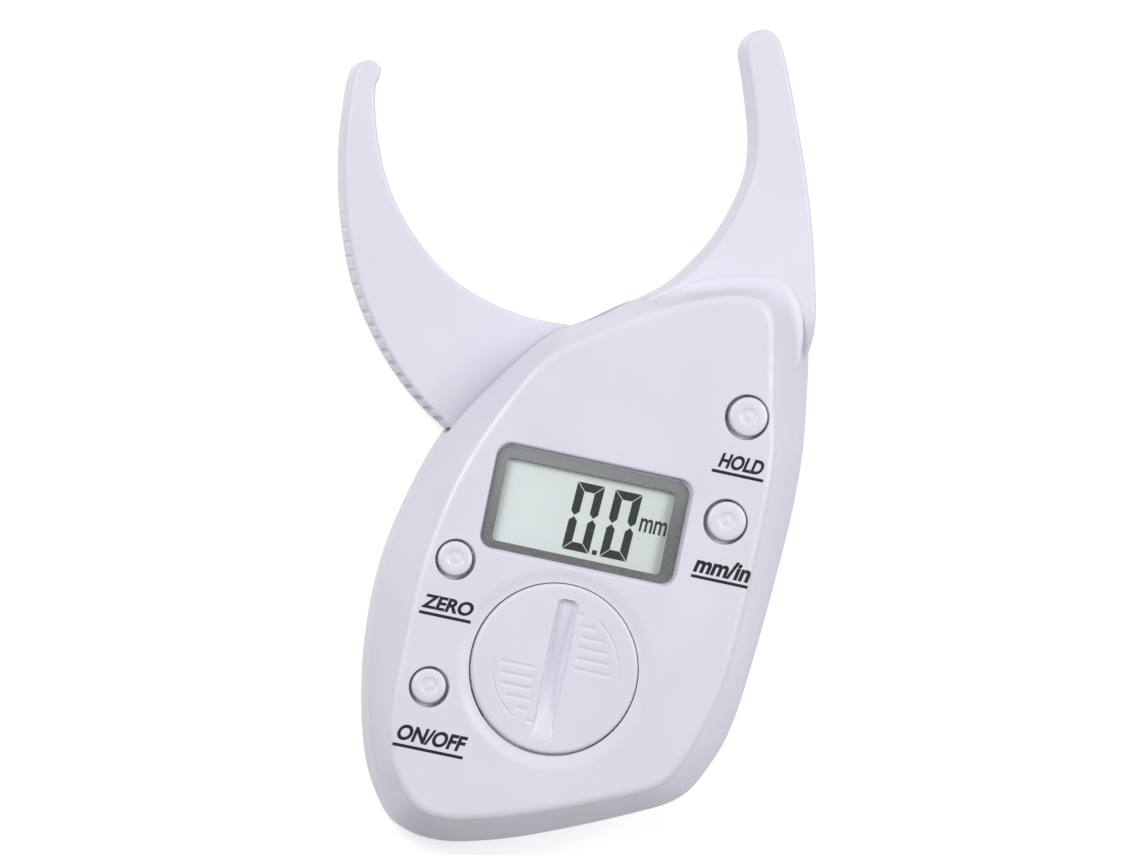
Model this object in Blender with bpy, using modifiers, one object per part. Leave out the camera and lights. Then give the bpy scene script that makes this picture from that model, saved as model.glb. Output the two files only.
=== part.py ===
# Digital skinfold caliper, lying on its back with the jaws fully open.
# Metres. X runs along the display, Y towards the jaws, Z out of the face.
# Everything is placed from the jaw's pivot axis, and the back lies at zero height.
import math
import bpy
import bmesh
from mathutils import Vector

# Driving sizes
jaw_reach = 0.0570                        # pivot axis to the corner where the jaw tips meet
jaw_opening = 0.0545                      # between those corners with the jaws fully open
fixed_jaw_angle = math.radians(77.8)      # direction of the fixed jaw's tip, from +X
arm_thickness = 0.0060
fixed_jaw_thickness = 0.0066
top_reach = 0.02366                       # pivot axis up to the case's right shoulder
left_margin = 0.0092                      # left buttons' axes to the seam line
right_margin = 0.01135                    # right buttons' axes to the seam line
bottom_margin = 0.01542                   # battery cover to the lower end of the case

# Walls, clearances and edges
front_wall = 0.0018
rear_wall = 0.0018
rear_floor = 0.0020
slot_step = 0.0005                        # floor of the arm's slot above the case's floor
seam_gap = 0.0003                         # between the two shells
seat_gap = 0.0002                         # between a piece and what it rests on
running_gap = 0.0004                      # between the arm and the shells it passes
overrun = 0.0010                          # how far every cutter passes the face it opens
edge_round = 0.0005
seam_chamfer = 0.0003
shoulder_drop = 0.0008                    # height of the soft edge round the raised face
shoulder_width = 0.0011

# Display
display_drop = 0.00825                    # pivot axis down to the lens
display_left = 0.01365                    # pivot axis to the left end of the lens
lens_length = 0.0299
lens_width = 0.0163
lens_corner = 0.0020
lens_thickness = 0.0009
lens_gap = 0.0002
lens_sink = 0.0001                        # top of the lens below the face
window_border = 0.0019                    # of the lens, outside the window
panel_margin = 0.0006                     # lens border to the edge of the panel
panel_thickness = 0.0020
holder_wall = 0.0012
strip_width = 0.0016
strip_end_gap = 0.0010

# Circuit board
board_lift = 0.0009                       # rim of the front shell to the board's underside
board_thickness = 0.0010
board_margin = 0.0010
board_top_edge = 0.0095
board_hole_gap = 0.0004
driver_gap = 0.00055                      # resin blob to the contact strips beside it
driver_dome_height = 0.0012
crystal_radius = 0.0010
crystal_length = 0.0060
crystal_gap = 0.00325                     # right end of the lens to the crystal's axis
crystal_rise = 0.0005                     # its middle above the lower edge of the lens

# Coin cell, CR2032
cell_radius = 0.0100
cell_thickness = 0.0032
cell_rim_radius = 0.0090
cell_step = 0.0003
cell_gap = 0.0003
contact_thickness = 0.0003
contact_lift = 0.0002
contact_radius = 0.0060
contact_width = 0.0040
tongue_rise = 0.0002

# Battery cover with its coin slot
cover_x = 0.0015
cover_spacing = 0.0028                    # cover to the lens above and the buttons beside it
cover_rim = 0.0013                        # cover beyond its neck
cover_gap = 0.0003
cover_plate = 0.0012
cover_sink = 0.0001
cover_turn = math.radians(35.0)           # lock to release
neck_play = 0.0004                        # cell to the neck round it
neck_wall = 0.0008
cell_play = 0.0004                        # cell to the coin slot's floor
ledge_thickness = 0.0012
lug_reach = 0.0010
lug_width = 0.0040
lug_thickness = 0.0008
pot_wall = 0.0015
coin_slot_width = 0.0033
coin_slot_margin = 0.0020                 # cover's edge to each end of the slot
coin_slot_depth = 0.0016
slot_wall = 0.0009
slot_floor = 0.0006
grip_margin = 0.0035                      # cover's edge to the grooves
grip_offset_share = 0.2                   # of a pitch, both groups stand off the middle
grip_depth = 0.0005
grip_pitch = 0.00155
grip_groove = 0.0009
grip_count = 6
grip_gap = 0.0010                         # from the coin slot to the grooves

# Buttons
right_column_gap = 0.0030                 # lens to the right buttons
hold_y = 0.00215
right_pitch = 0.0157
zero_drop = 0.0027                        # lower edge of the lens to the upper left button
left_pitch = 0.0190
large_button_radius = 0.00285
small_button_radius = 0.00250
button_ring_gap = 0.0005
button_stand = 0.0005                     # top of a cap above the face
button_travel = 0.0006
flange_reach = 0.0007                     # beyond the cap, under the face
flange_thickness = 0.0007
stem_radius = 0.0011
dimple_radius = 0.0012
dimple_depth = 0.00025
switch_side = 0.0042
switch_body = 0.0008
plunger_radius = 0.0009
plunger_height = 0.0004
press_reserve = 0.0002                    # left between stem and plunger when pressed

# Pivot, return spring and travel pick-up
axle_radius = 0.0020
axle_foot = 0.0010                        # height of the axle's lower end
axle_grip = 0.0026                        # length of the axle in the front shell's boss
axle_gap = 0.00005
hub_radius = 0.0108
pivot_boss_wall = 0.0012
front_boss_wall = 0.0016
spring_pocket_depth = 0.0036
spring_wire = 0.0007
spring_inner_gap = 0.00055                # coil to the boss inside it
spring_outer_gap = 0.00075                # coil to the pocket round it
spring_pitch = 0.00115
spring_turns = 2
spring_leg = 0.0034
washer_radius = 0.0038
washer_thickness = 0.0003
clip_radius = 0.0034
clip_thickness = 0.0004
clip_opening = math.radians(70.0)
plate_inner_gap = 0.0012                  # clip to the plate
plate_margin = 0.0020                     # plate to the hub's edge
plate_thickness = 0.0003
plate_sweep = math.radians(150.0)

# Screws
case_screw_radius = 0.0011
case_screw_head = 0.0021
case_screw_head_height = 0.0013
case_screw_sink = 0.0012                  # head below the back
case_screw_grip = 0.0044                  # length of the screw in the front shell's boss
head_wall = 0.0003                        # of a rear boss, round the screw's head
boss_spacing = 0.0016                     # battery pot to the boss beside it
lower_screw_gap = 0.0062                  # battery pot to the boss below it
upper_screw_rise = 0.0082                 # upper left button to the boss above it
board_screw_radius = 0.0008
board_screw_head = 0.0016
board_screw_head_height = 0.0008
board_screw_length = 0.0042
board_boss_wall = 0.0012
board_screw_drop = 0.0170                 # lower right button to the board screw below it
board_screw_shift = 0.0011
drive_share = 0.5                         # cross recess across, of the head's diameter
drive_width_share = 0.14
drive_depth_share = 0.55
head_rim_share = 0.35                     # of the head's height, its straight rim
head_top_share = 0.75                     # of the head's radius, its flat top
point_share = 0.35                        # of the shank's radius, its flat end

# Thumb serrations on the moving jaw
serration_pitch = 0.0021
serration_depth = 0.0006
serration_base = 0.0014                   # smooth strip under the serrations
serration_first = 0.0035                  # from the tip's outer corner to the first one
arm_point_step = 0.000525
serrated_round_share = 0.8                # of the usual edge round, above the serrations

# The arm's slot in the rear shell and the hidden heel that closes it
slot_clearance = math.radians(1.6)
slot_lead = math.radians(3.0)             # the slot starts so far ahead of the fixed jaw's tip
heel_margin = 0.0007                      # heel to the case edge that it follows
heel_wall_share = 2.0                     # the slanted wall's thickness along the radius, and play
heel_sweep = math.radians(56.0)           # how far the heel runs past the serrated edge
hub_lead = math.radians(4.0)              # hub's edge to the root of the inner edge
arc_steps = 12
hub_steps = 16

# Case outline, clockwise from the top right corner, seen from the front. Each row holds a point
# of the seam and the point of the raised face above it: x as a share of the case's reach to that
# side of the pivot, then y as a share of its reach above or below the pivot.
case_shares = (
    (0.753, 1.000, 0.603, 0.818),
    (0.830, 0.961, 0.665, 0.771),
    (0.881, 0.837, 0.698, 0.694),
    (0.924, 0.628, 0.718, 0.570),
    (0.970, 0.248, 0.764, 0.252),
    (0.998, -0.031, 0.819, -0.038),
    (1.000, -0.193, 0.831, -0.200),
    (0.957, -0.518, 0.807, -0.525),
    (0.918, -0.651, 0.748, -0.658),
    (0.851, -0.739, 0.684, -0.740),
    (0.782, -0.794, 0.624, -0.785),
    (0.668, -0.835, 0.523, -0.816),
    (0.135, -0.950, 0.066, -0.907),
    (-0.223, -0.995, -0.295, -0.949),
    (-0.437, -1.000, -0.479, -0.953),
    (-0.584, -0.982, -0.598, -0.936),
    (-0.705, -0.934, -0.695, -0.898),
    (-0.816, -0.861, -0.774, -0.852),
    (-0.916, -0.754, -0.828, -0.754),
    (-0.993, -0.606, -0.835, -0.613),
    (-1.000, -0.429, -0.823, -0.436),
    (-0.928, -0.267, -0.751, -0.267),
    (-0.777, -0.119, -0.646, -0.141),
    (-0.423, 0.205, -0.430, 0.085),
    (-0.277, 0.376, -0.295, 0.256),
    (-0.063, 0.512, -0.095, 0.411),
    (0.135, 0.698, 0.142, 0.601),
    (0.424, 0.876, 0.459, 0.802),
)
outline_steps = 3

# Jaw outlines: degrees from the jaw's own tip direction, then a share of the jaw's reach
fixed_inner_shares = (
    (-11.6, 0.382), (-13.6, 0.452), (-14.7, 0.555), (-13.4, 0.663), (-11.4, 0.741),
    (-8.5, 0.812), (-4.9, 0.887), (-2.0, 0.950), (0.0, 1.000), (-0.2, 1.036),
)
fixed_outer_shares = (
    (-0.9, 1.056), (-2.7, 1.055), (-4.6, 1.032), (-8.2, 0.967), (-12.8, 0.889),
    (-18.8, 0.817), (-26.1, 0.749), (-37.7, 0.660), (-44.1, 0.629), (-52.1, 0.604),
)
moving_inner_shares = (
    (2.0, 0.266), (11.0, 0.344), (14.7, 0.434), (15.3, 0.514), (14.2, 0.603), (12.0, 0.703),
    (9.1, 0.794), (6.2, 0.870), (3.7, 0.933), (1.5, 0.982), (0.0, 1.000), (-0.7, 1.019),
)
moving_outer_shares = (
    (0.0, 1.047), (1.7, 1.055), (3.9, 1.030), (6.1, 0.995), (10.4, 0.929), (16.2, 0.846),
    (22.6, 0.763), (30.5, 0.674), (39.7, 0.577), (49.9, 0.487), (60.6, 0.411), (68.0, 0.366),
)

# Walls of the two shells: height, then how far from the seam's outline to the raised face's one.
# In front the height is a share of the flank's, behind it is a share of the floor's thickness.
front_flank_shares = ((0.45, 0.50), (1.0, 0.94))
front_hollow_share = 0.80
rear_flank_shares = ((0.0, 0.62), (0.16, 0.40), (0.60, 0.20), (1.50, 0.08))
rear_hollow_share = 0.24
# The raised face's soft edge: depth as a share of its drop, inset as a share of its width
shoulder_shares = ((0.35, 0.0), (0.08, 0.45), (0.0, 1.0))
board_outline_share = 0.35
seat_reach_share = 1.3                    # the fixed jaw's seat stays open on the case's outside
# Button caps: radius as a share of the cap's, depth as a share of the crown's height
crown_share = 0.16
cap_shares = ((0.72, 0.15), (0.92, 0.55), (1.0, 1.3))
dimple_floor_share = 0.75
axle_chamfer_share = 0.15
mitre_share = 0.5                         # least cosine that a corner's offset is divided by

# Places of the upper right screws, as shares of the case's reach to the right and above the pivot
case_screw_share = (0.562, 0.519)
board_screw_share = (0.374, 0.213)
lower_screw_angle = math.radians(-122.0)  # seen from the battery cover's middle
right_screw_angle = math.radians(-28.4)

# Heights that follow from the sizes above, from the back up to the face
slot_floor_height = rear_floor + slot_step
arm_bottom = slot_floor_height + running_gap
arm_top = arm_bottom + arm_thickness
rim_height = arm_top + running_gap
parting_height = rim_height - seam_gap
jaw_top = rim_height + seam_gap
jaw_bottom = jaw_top - fixed_jaw_thickness
board_bottom = rim_height + board_lift
board_top = board_bottom + board_thickness
board_seat = board_top + seat_gap
cell_bottom = board_seat + contact_thickness + contact_lift + tongue_rise
cell_top = cell_bottom + cell_thickness
cover_top = cell_top + cell_play + slot_floor + coin_slot_depth
case_height = cover_top + cover_sink
ceiling = case_height - front_wall
pivot_boss_top = arm_bottom + spring_pocket_depth - washer_thickness - 2.0 * seat_gap
axle_length = board_seat + axle_grip - axle_foot
case_screw_length = rim_height + case_screw_grip - case_screw_sink

# Battery cover levels, from the face down
cover_underside = cover_top - cover_plate
ledge_top = cover_underside - cover_gap
ledge_bottom = ledge_top - ledge_thickness
lug_top = ledge_bottom - cover_gap
lug_bottom = lug_top - lug_thickness
shelf_height = lug_bottom - cover_gap

# Radii that follow
neck_inner = cell_radius + neck_play
neck_outer = neck_inner + neck_wall
cover_radius = neck_outer + cover_rim
ledge_radius = neck_outer + cover_gap
lug_radius = neck_outer + lug_reach
turn_radius = lug_radius + cover_gap
recess_radius = cover_radius + cover_gap
chamber_radius = cell_radius + cell_gap
pot_radius = turn_radius + pot_wall
pivot_boss_radius = axle_radius + pivot_boss_wall
front_boss_radius = axle_radius + front_boss_wall
spring_coil_radius = pivot_boss_radius + spring_inner_gap + spring_wire / 2.0
spring_pocket_radius = spring_coil_radius + spring_wire / 2.0 + spring_outer_gap
case_boss_radius = case_screw_head + seat_gap + head_wall
board_boss_radius = board_screw_radius + board_boss_wall

# Places and reaches that follow
display_x = lens_length / 2.0 - display_left
display_y = -display_drop - lens_width / 2.0
lens_bottom = display_y - lens_width / 2.0
lens_right = display_x + lens_length / 2.0
cover_y = lens_bottom - cover_spacing - cover_radius
right_button_x = lens_right + right_column_gap + large_button_radius
left_button_x = cover_x - cover_radius - cover_spacing - small_button_radius
unit_y = hold_y - right_pitch
zero_y = lens_bottom - zero_drop
power_y = zero_y - left_pitch
left_reach = left_margin - left_button_x
right_reach = right_button_x + right_margin
bottom_reach = bottom_margin + cover_radius - cover_y

driver_dome_radius = (lens_width / 2.0 - panel_margin - holder_wall - seat_gap - strip_width
                      - driver_gap)

# Angles that follow
swing = 2.0 * math.asin(jaw_opening / (2.0 * jaw_reach))
open_jaw_angle = fixed_jaw_angle + swing
heel_start_angle = open_jaw_angle + math.radians(moving_outer_shares[-1][0])
heel_end_angle = heel_start_angle + heel_sweep
spring_turn = math.tau * (spring_turns + 0.25)
spring_start_angle = math.radians(-60.0)
spring_end_angle = spring_start_angle + spring_turn

colours = {
    "white_plastic": ((0.72, 0.72, 0.79), 0.38, 0.0),
    "button_plastic": ((0.74, 0.74, 0.80), 0.35, 0.0),
    "clear_plastic": ((0.85, 0.88, 0.90), 0.08, 0.0),
    "display_glass": ((0.66, 0.72, 0.70), 0.15, 0.0),
    "holder_plastic": ((0.80, 0.80, 0.78), 0.50, 0.0),
    "contact_rubber": ((0.72, 0.40, 0.45), 0.60, 0.0),
    "board": ((0.05, 0.25, 0.12), 0.45, 0.0),
    "black_resin": ((0.02, 0.02, 0.02), 0.30, 0.0),
    "copper": ((0.75, 0.55, 0.25), 0.30, 1.0),
    "spring_steel": ((0.55, 0.55, 0.57), 0.25, 1.0),
    "zinc_steel": ((0.62, 0.62, 0.64), 0.30, 1.0),
    "washer_nylon": ((0.85, 0.85, 0.80), 0.50, 0.0),
}


def clear_scene():
    for item in list(bpy.data.objects):
        bpy.data.objects.remove(item, do_unlink=True)


def new_collection(name):
    group = bpy.data.collections.new(name)
    bpy.context.scene.collection.children.link(group)
    return group


def new_material(name):
    colour, roughness, metallic = colours[name]
    material = bpy.data.materials.new(name)
    material.use_nodes = True
    shader = material.node_tree.nodes["Principled BSDF"]
    shader.inputs["Base Color"].default_value = (*colour, 1.0)
    shader.inputs["Roughness"].default_value = roughness
    shader.inputs["Metallic"].default_value = metallic
    return material


clear_scene()
part_collection = new_collection("skinfold_caliper")
cutter_collection = new_collection("cutters")
materials = {name: new_material(name) for name in colours}
root = bpy.data.objects.new("caliper_frame", None)
part_collection.objects.link(root)


def place(mesh_object, material_name, location=(0, 0, 0)):
    # A finished piece: its own material, carried by the caliper's frame
    part_collection.objects.link(mesh_object)
    mesh_object.parent = root
    mesh_object.location = location
    mesh_object.data.materials.append(materials[material_name])
    return mesh_object


def keep_as_tool(mesh_object):
    cutter_collection.objects.link(mesh_object)
    mesh_object.parent = root
    mesh_object.hide_render = True
    mesh_object.display_type = "WIRE"
    return mesh_object


def combine(target, tool, operation="DIFFERENCE"):
    modifier = target.modifiers.new(operation.lower() + "_" + tool.name, "BOOLEAN")
    modifier.operation = operation
    modifier.solver = "EXACT"
    modifier.object = tool
    return target


def cut(target, tool):
    return combine(target, keep_as_tool(tool), "DIFFERENCE")


def join(target, tool):
    return combine(target, keep_as_tool(tool), "UNION")


def mesh_from_bmesh(name, working_mesh):
    bmesh.ops.remove_doubles(working_mesh, verts=working_mesh.verts, dist=0.000001)
    bmesh.ops.recalc_face_normals(working_mesh, faces=working_mesh.faces)
    mesh = bpy.data.meshes.new(name)
    working_mesh.to_mesh(mesh)
    working_mesh.free()
    mesh.shade_smooth()
    mesh.set_sharp_from_angle(angle=math.radians(35.0))
    return bpy.data.objects.new(name, mesh)


def loft(name, rings):
    # Walls between rings of equal point counts, closed at the first and the last ring
    working_mesh = bmesh.new()
    rows = [[working_mesh.verts.new(point) for point in ring] for ring in rings]
    count = len(rows[0])
    for lower, upper in zip(rows, rows[1:]):
        for i in range(count):
            j = (i + 1) % count
            working_mesh.faces.new((lower[i], lower[j], upper[j], upper[i]))
    working_mesh.faces.new(rows[0])
    working_mesh.faces.new(rows[-1])
    return mesh_from_bmesh(name, working_mesh)


def at_height(points, height):
    return [Vector((point.x, point.y, height)) for point in points]


def prism(name, points, bottom, top):
    return loft(name, [at_height(points, bottom), at_height(points, top)])


def block(name, low, high):
    low, high = Vector(low), Vector(high)
    working_mesh = bmesh.new()
    bmesh.ops.create_cube(working_mesh, size=1.0)
    bmesh.ops.scale(working_mesh, vec=high - low, verts=working_mesh.verts)
    bmesh.ops.translate(working_mesh, vec=(low + high) / 2.0, verts=working_mesh.verts)
    return mesh_from_bmesh(name, working_mesh)


def cylinder(name, radius, bottom, top, centre=(0, 0), sides=20):
    working_mesh = bmesh.new()
    bmesh.ops.create_cone(working_mesh, cap_ends=True, segments=sides, radius1=radius,
                          radius2=radius, depth=top - bottom)
    middle = (centre[0], centre[1], (top + bottom) / 2.0)
    bmesh.ops.translate(working_mesh, vec=middle, verts=working_mesh.verts)
    return mesh_from_bmesh(name, working_mesh)


def turned(name, profile, steps=18, closed=False):
    # A profile of (radius, height) points on +X, from the top down, turned round Z
    mesh = bpy.data.meshes.new(name)
    count = len(profile)
    edges = [(i, i + 1) for i in range(count - 1)]
    if closed:
        edges.append((count - 1, 0))
    mesh.from_pydata([(radius, 0, height) for radius, height in profile], edges, [])
    turned_object = bpy.data.objects.new(name, mesh)
    screw = turned_object.modifiers.new("turn", "SCREW")
    screw.axis = "Z"
    screw.angle = math.tau
    screw.steps = steps
    screw.render_steps = steps
    screw.use_merge_vertices = True
    screw.merge_threshold = 0.000001
    screw.use_smooth_shade = True
    return turned_object


def direction(angle):
    return Vector((math.cos(angle), math.sin(angle), 0))


def smooth_path(points, steps, closed=True):
    # A curve through the points, with a tangent at each that follows its two neighbours
    count = len(points)
    tangents = []
    for i in range(count):
        before = points[i - 1] if closed or i > 0 else points[i]
        after = points[(i + 1) % count] if closed or i < count - 1 else points[i]
        tangents.append((after - before).normalized())
    path = []
    spans = count if closed else count - 1
    for i in range(spans):
        start, end = points[i], points[(i + 1) % count]
        length = (end - start).length
        for k in range(steps):
            t = k / steps
            path.append((2 * t ** 3 - 3 * t ** 2 + 1) * start + (3 * t ** 2 - 2 * t ** 3) * end
                        + (t ** 3 - 2 * t ** 2 + t) * length * tangents[i]
                        + (t ** 3 - t ** 2) * length * tangents[(i + 1) % count])
    if not closed:
        path.append(points[-1])
    return path


def signed_area(points):
    return sum(a.x * b.y - b.x * a.y for a, b in zip(points, points[1:] + points[:1])) / 2.0


def inset(points, distance):
    # Each point moved inwards, square to the outline, by the distance
    side = 1.0 if signed_area(points) > 0 else -1.0
    moved = []
    count = len(points)
    for i in range(count):
        before = (points[i] - points[i - 1]).normalized()
        after = (points[(i + 1) % count] - points[i]).normalized()
        along = (before + after).normalized()
        mitre = max(mitre_share, along.dot(before))
        moved.append(points[i] + Vector((-along.y, along.x, 0)) * (side * distance / mitre))
    return moved


def resampled(path, step):
    # Points a step apart along the path, which keeps both its ends
    lengths = [0.0]
    for a, b in zip(path, path[1:]):
        lengths.append(lengths[-1] + (b - a).length)
    count = max(2, round(lengths[-1] / step))
    result = []
    span = 0
    for k in range(count + 1):
        wanted = lengths[-1] * k / count
        while span < len(path) - 2 and lengths[span + 1] < wanted:
            span += 1
        share = (wanted - lengths[span]) / (lengths[span + 1] - lengths[span])
        result.append(path[span].lerp(path[span + 1], share))
    return result


def below(points, limit):
    # The outline's part under a straight line across at the limit
    kept = []
    for a, b in zip(points, points[1:] + points[:1]):
        if a.y <= limit:
            kept.append(a)
        if (a.y <= limit) != (b.y <= limit):
            kept.append(a.lerp(b, (limit - a.y) / (b.y - a.y)))
    return kept


def rounded_rectangle(centre, length, width, corner, steps=4):
    points = []
    for quarter, (side_x, side_y) in enumerate(((1, 1), (-1, 1), (-1, -1), (1, -1))):
        middle = Vector((centre[0] + side_x * (length / 2.0 - corner),
                         centre[1] + side_y * (width / 2.0 - corner), 0))
        for k in range(steps + 1):
            angle = (quarter + k / steps) * math.pi / 2.0
            points.append(middle + corner * direction(angle))
    return points


def sector(inner, outer, start, end, steps):
    angles = [start + (end - start) * k / steps for k in range(steps + 1)]
    outer_edge = [outer * direction(angle) for angle in angles]
    inner_edge = [inner * direction(angle) for angle in reversed(angles)]
    return outer_edge + inner_edge


def case_place(share_x, share_y):
    return Vector((share_x * (right_reach if share_x > 0 else left_reach),
                   share_y * (top_reach if share_y > 0 else bottom_reach), 0))


def case_outline(blend, inset_by=0.0):
    # The seam's outline at blend 0 and the raised face's at 1
    corners = [case_place(*row[:2]).lerp(case_place(*row[2:]), blend) for row in case_shares]
    points = smooth_path(corners, outline_steps)
    if inset_by:
        points = inset(points, inset_by)
    return points


def case_ring(height, blend, inset_by=0.0):
    return at_height(case_outline(blend, inset_by), height)


def jaw_points(shares, tip_angle):
    return [share * jaw_reach * direction(tip_angle + math.radians(degrees))
            for degrees, share in shares]


fixed_inner_edge = smooth_path(jaw_points(fixed_inner_shares, fixed_jaw_angle), 3, closed=False)
fixed_outer_edge = smooth_path(jaw_points(fixed_outer_shares, fixed_jaw_angle), 3, closed=False)
fixed_jaw_outline = fixed_inner_edge + fixed_outer_edge

cover_place = Vector((cover_x, cover_y, 0))
case_screw_places = (
    case_place(*case_screw_share),
    Vector((left_button_x, zero_y + upper_screw_rise, 0)),
    cover_place + (pot_radius + lower_screw_gap + case_boss_radius) * direction(lower_screw_angle),
    cover_place + (pot_radius + boss_spacing + case_boss_radius) * direction(right_screw_angle),
)
board_screw_places = (
    Vector((right_button_x + board_screw_shift, unit_y - board_screw_drop, 0)),
    Vector((left_button_x, (zero_y + power_y) / 2.0, 0)),
    case_place(*board_screw_share),
)
button_rows = (
    ("hold_button", right_button_x, hold_y, large_button_radius),
    ("unit_button", right_button_x, unit_y, large_button_radius),
    ("zero_button", left_button_x, zero_y, small_button_radius),
    ("power_button", left_button_x, power_y, small_button_radius),
)


def bored_boss(shell, name, centre, radius, bottom, top):
    join(shell, cylinder(name + "_boss", radius, bottom, top, centre))


def build_front_shell():
    flank = case_height - shoulder_drop - rim_height
    flank_rings = [(rim_height + flank * rise, blend) for rise, blend in front_flank_shares]
    shell = loft("front_shell", [
        case_ring(rim_height, 0.0, seam_chamfer),
        case_ring(rim_height + seam_chamfer, 0.0),
        *[case_ring(height, blend) for height, blend in flank_rings],
        *[case_ring(case_height - shoulder_drop * depth, 1.0, shoulder_width * reach)
          for depth, reach in shoulder_shares],
    ])
    place(shell, "white_plastic")
    join(shell, loft("fixed_jaw_bar", [
        at_height(inset(fixed_jaw_outline, edge_round), jaw_bottom),
        at_height(fixed_jaw_outline, jaw_bottom + edge_round),
        at_height(fixed_jaw_outline, jaw_top - edge_round),
        at_height(inset(fixed_jaw_outline, edge_round), jaw_top),
    ]))
    # The hollow leaves the jaw's root solid where it meets the shell
    hollow = loft("front_hollow", [
        case_ring(rim_height - overrun, 0.0, front_wall),
        case_ring(rim_height + seam_chamfer, 0.0, front_wall),
        case_ring(*flank_rings[0], front_wall),
        case_ring(ceiling, front_hollow_share, front_wall),
    ])
    root_block = prism("jaw_root_block", inset(fixed_jaw_outline, edge_round),
                       jaw_bottom, rim_height + front_wall)
    cut(hollow, root_block)
    cut(shell, hollow)

    # Battery pot with its ledge and the two lug notches
    join(shell, cylinder("battery_pot", pot_radius, board_seat, ceiling + front_wall / 2.0,
                         cover_place, 40))
    cut(shell, cylinder("cover_recess", recess_radius, ledge_top, case_height + overrun,
                        cover_place, 40))
    cut(shell, cylinder("ledge_hole", ledge_radius, ledge_bottom - overrun,
                        case_height + overrun, cover_place, 40))
    cut(shell, cylinder("lug_chamber", turn_radius, shelf_height, ledge_bottom, cover_place, 40))
    cut(shell, cylinder("cell_chamber", chamber_radius, board_seat - overrun,
                        ledge_bottom, cover_place, 40))
    for side in (0, 1):
        notch = block("lug_notch_" + str(side + 1),
                      (neck_inner, -lug_width / 2.0 - cover_gap, ledge_bottom - overrun / 2.0),
                      (turn_radius, lug_width / 2.0 + cover_gap, ledge_top + overrun / 2.0))
        notch.rotation_euler.z = cover_turn + side * math.pi
        notch.location = cover_place
        cut(shell, notch)
    pocket_reach = chamber_radius + contact_thickness + 2.0 * cell_gap
    contact_pocket = block("contact_pocket",
                           (-contact_width / 2.0 - cell_gap, 0, board_seat - overrun),
                           (contact_width / 2.0 + cell_gap, pocket_reach, shelf_height - cell_gap))
    contact_pocket.location = cover_place
    cut(shell, contact_pocket)

    # Display recess and window
    display_centre = (display_x, display_y)
    recess_floor = case_height - lens_sink - lens_thickness - seat_gap
    cut(shell, prism("lens_recess", rounded_rectangle(
        display_centre, lens_length + 2.0 * lens_gap, lens_width + 2.0 * lens_gap,
        lens_corner + lens_gap), recess_floor, case_height + overrun))
    cut(shell, prism("display_window", rounded_rectangle(
        display_centre, lens_length - 2.0 * window_border, lens_width - 2.0 * window_border,
        lens_corner / 2.0),
        ceiling - overrun, case_height + overrun))

    # Button holes
    for name, x, y, radius in button_rows:
        cut(shell, cylinder(name + "_hole", radius + button_ring_gap, ceiling - overrun,
                            case_height + overrun, (x, y), 24))

    # Bosses for the case screws, the board screws and the pivot axle
    for number, centre in enumerate(case_screw_places, 1):
        name = "front_case_screw_" + str(number)
        bored_boss(shell, name, centre, case_boss_radius, rim_height, ceiling + overrun / 2.0)
        cut(shell, cylinder(name + "_bore", case_screw_radius + axle_gap, rim_height - overrun,
                            case_screw_sink + case_screw_length + seat_gap, centre, 16))
    for number, centre in enumerate(board_screw_places, 1):
        name = "board_screw_" + str(number)
        bored_boss(shell, name, centre, board_boss_radius, board_seat, ceiling + overrun / 2.0)
        cut(shell, cylinder(name + "_bore", board_screw_radius + axle_gap, board_seat - overrun,
                            board_bottom + board_screw_length, centre, 12))
    bored_boss(shell, "front_pivot", (0, 0), front_boss_radius, board_seat,
               ceiling + overrun / 2.0)
    cut(shell, cylinder("front_pivot_bore", axle_radius + axle_gap, board_seat - overrun,
                        axle_foot + axle_length + seat_gap))
    return shell


def build_rear_shell():
    shell = loft("rear_shell", [
        *[case_ring(rear_floor * rise, blend) for rise, blend in rear_flank_shares],
        case_ring(parting_height - seam_chamfer, 0.0),
        case_ring(parting_height, 0.0, seam_chamfer),
    ])
    place(shell, "white_plastic")
    cut(shell, loft("rear_hollow", [
        case_ring(rear_floor, rear_hollow_share, rear_wall),
        case_ring(rear_floor * rear_flank_shares[-1][0], rear_flank_shares[-1][1], rear_wall),
        case_ring(parting_height + overrun, 0.0, rear_wall),
    ]))
    # The slot that the arm swings in, and the seat of the fixed jaw's root
    slot_end = heel_start_angle + slot_clearance
    slot_start = fixed_jaw_angle - slot_lead
    cut(shell, prism("arm_slot", sector(hub_radius / 2.0, top_reach + left_reach, slot_start,
                                        slot_end, arc_steps),
                     slot_floor_height, parting_height + overrun))
    seat_outline = [*fixed_inner_edge, *[point * seat_reach_share for point in fixed_outer_edge],
                    fixed_outer_edge[-1]]
    cut(shell, prism("fixed_jaw_seat", inset(seat_outline, -seam_gap),
                     jaw_bottom - seam_gap, parting_height + overrun))

    # Screw bosses with counterbored heads
    for number, centre in enumerate(case_screw_places, 1):
        name = "rear_case_screw_" + str(number)
        bored_boss(shell, name, centre, case_boss_radius, rear_floor / 2.0, parting_height)
        cut(shell, cylinder(name + "_bore", case_screw_radius + axle_gap, -overrun,
                            parting_height + overrun, centre, 16))
        cut(shell, cylinder(name + "_head", case_screw_head + seat_gap, -overrun,
                            case_screw_sink + case_screw_head_height + seat_gap, centre, 20))
    # Pivot boss, inside the return spring, with a blind bore for the axle
    bored_boss(shell, "rear_pivot", (0, 0), pivot_boss_radius, rear_floor / 2.0,
               pivot_boss_top)
    cut(shell, cylinder("rear_pivot_bore", axle_radius + axle_gap, axle_foot - axle_gap,
                        pivot_boss_top + overrun))
    return shell


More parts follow.
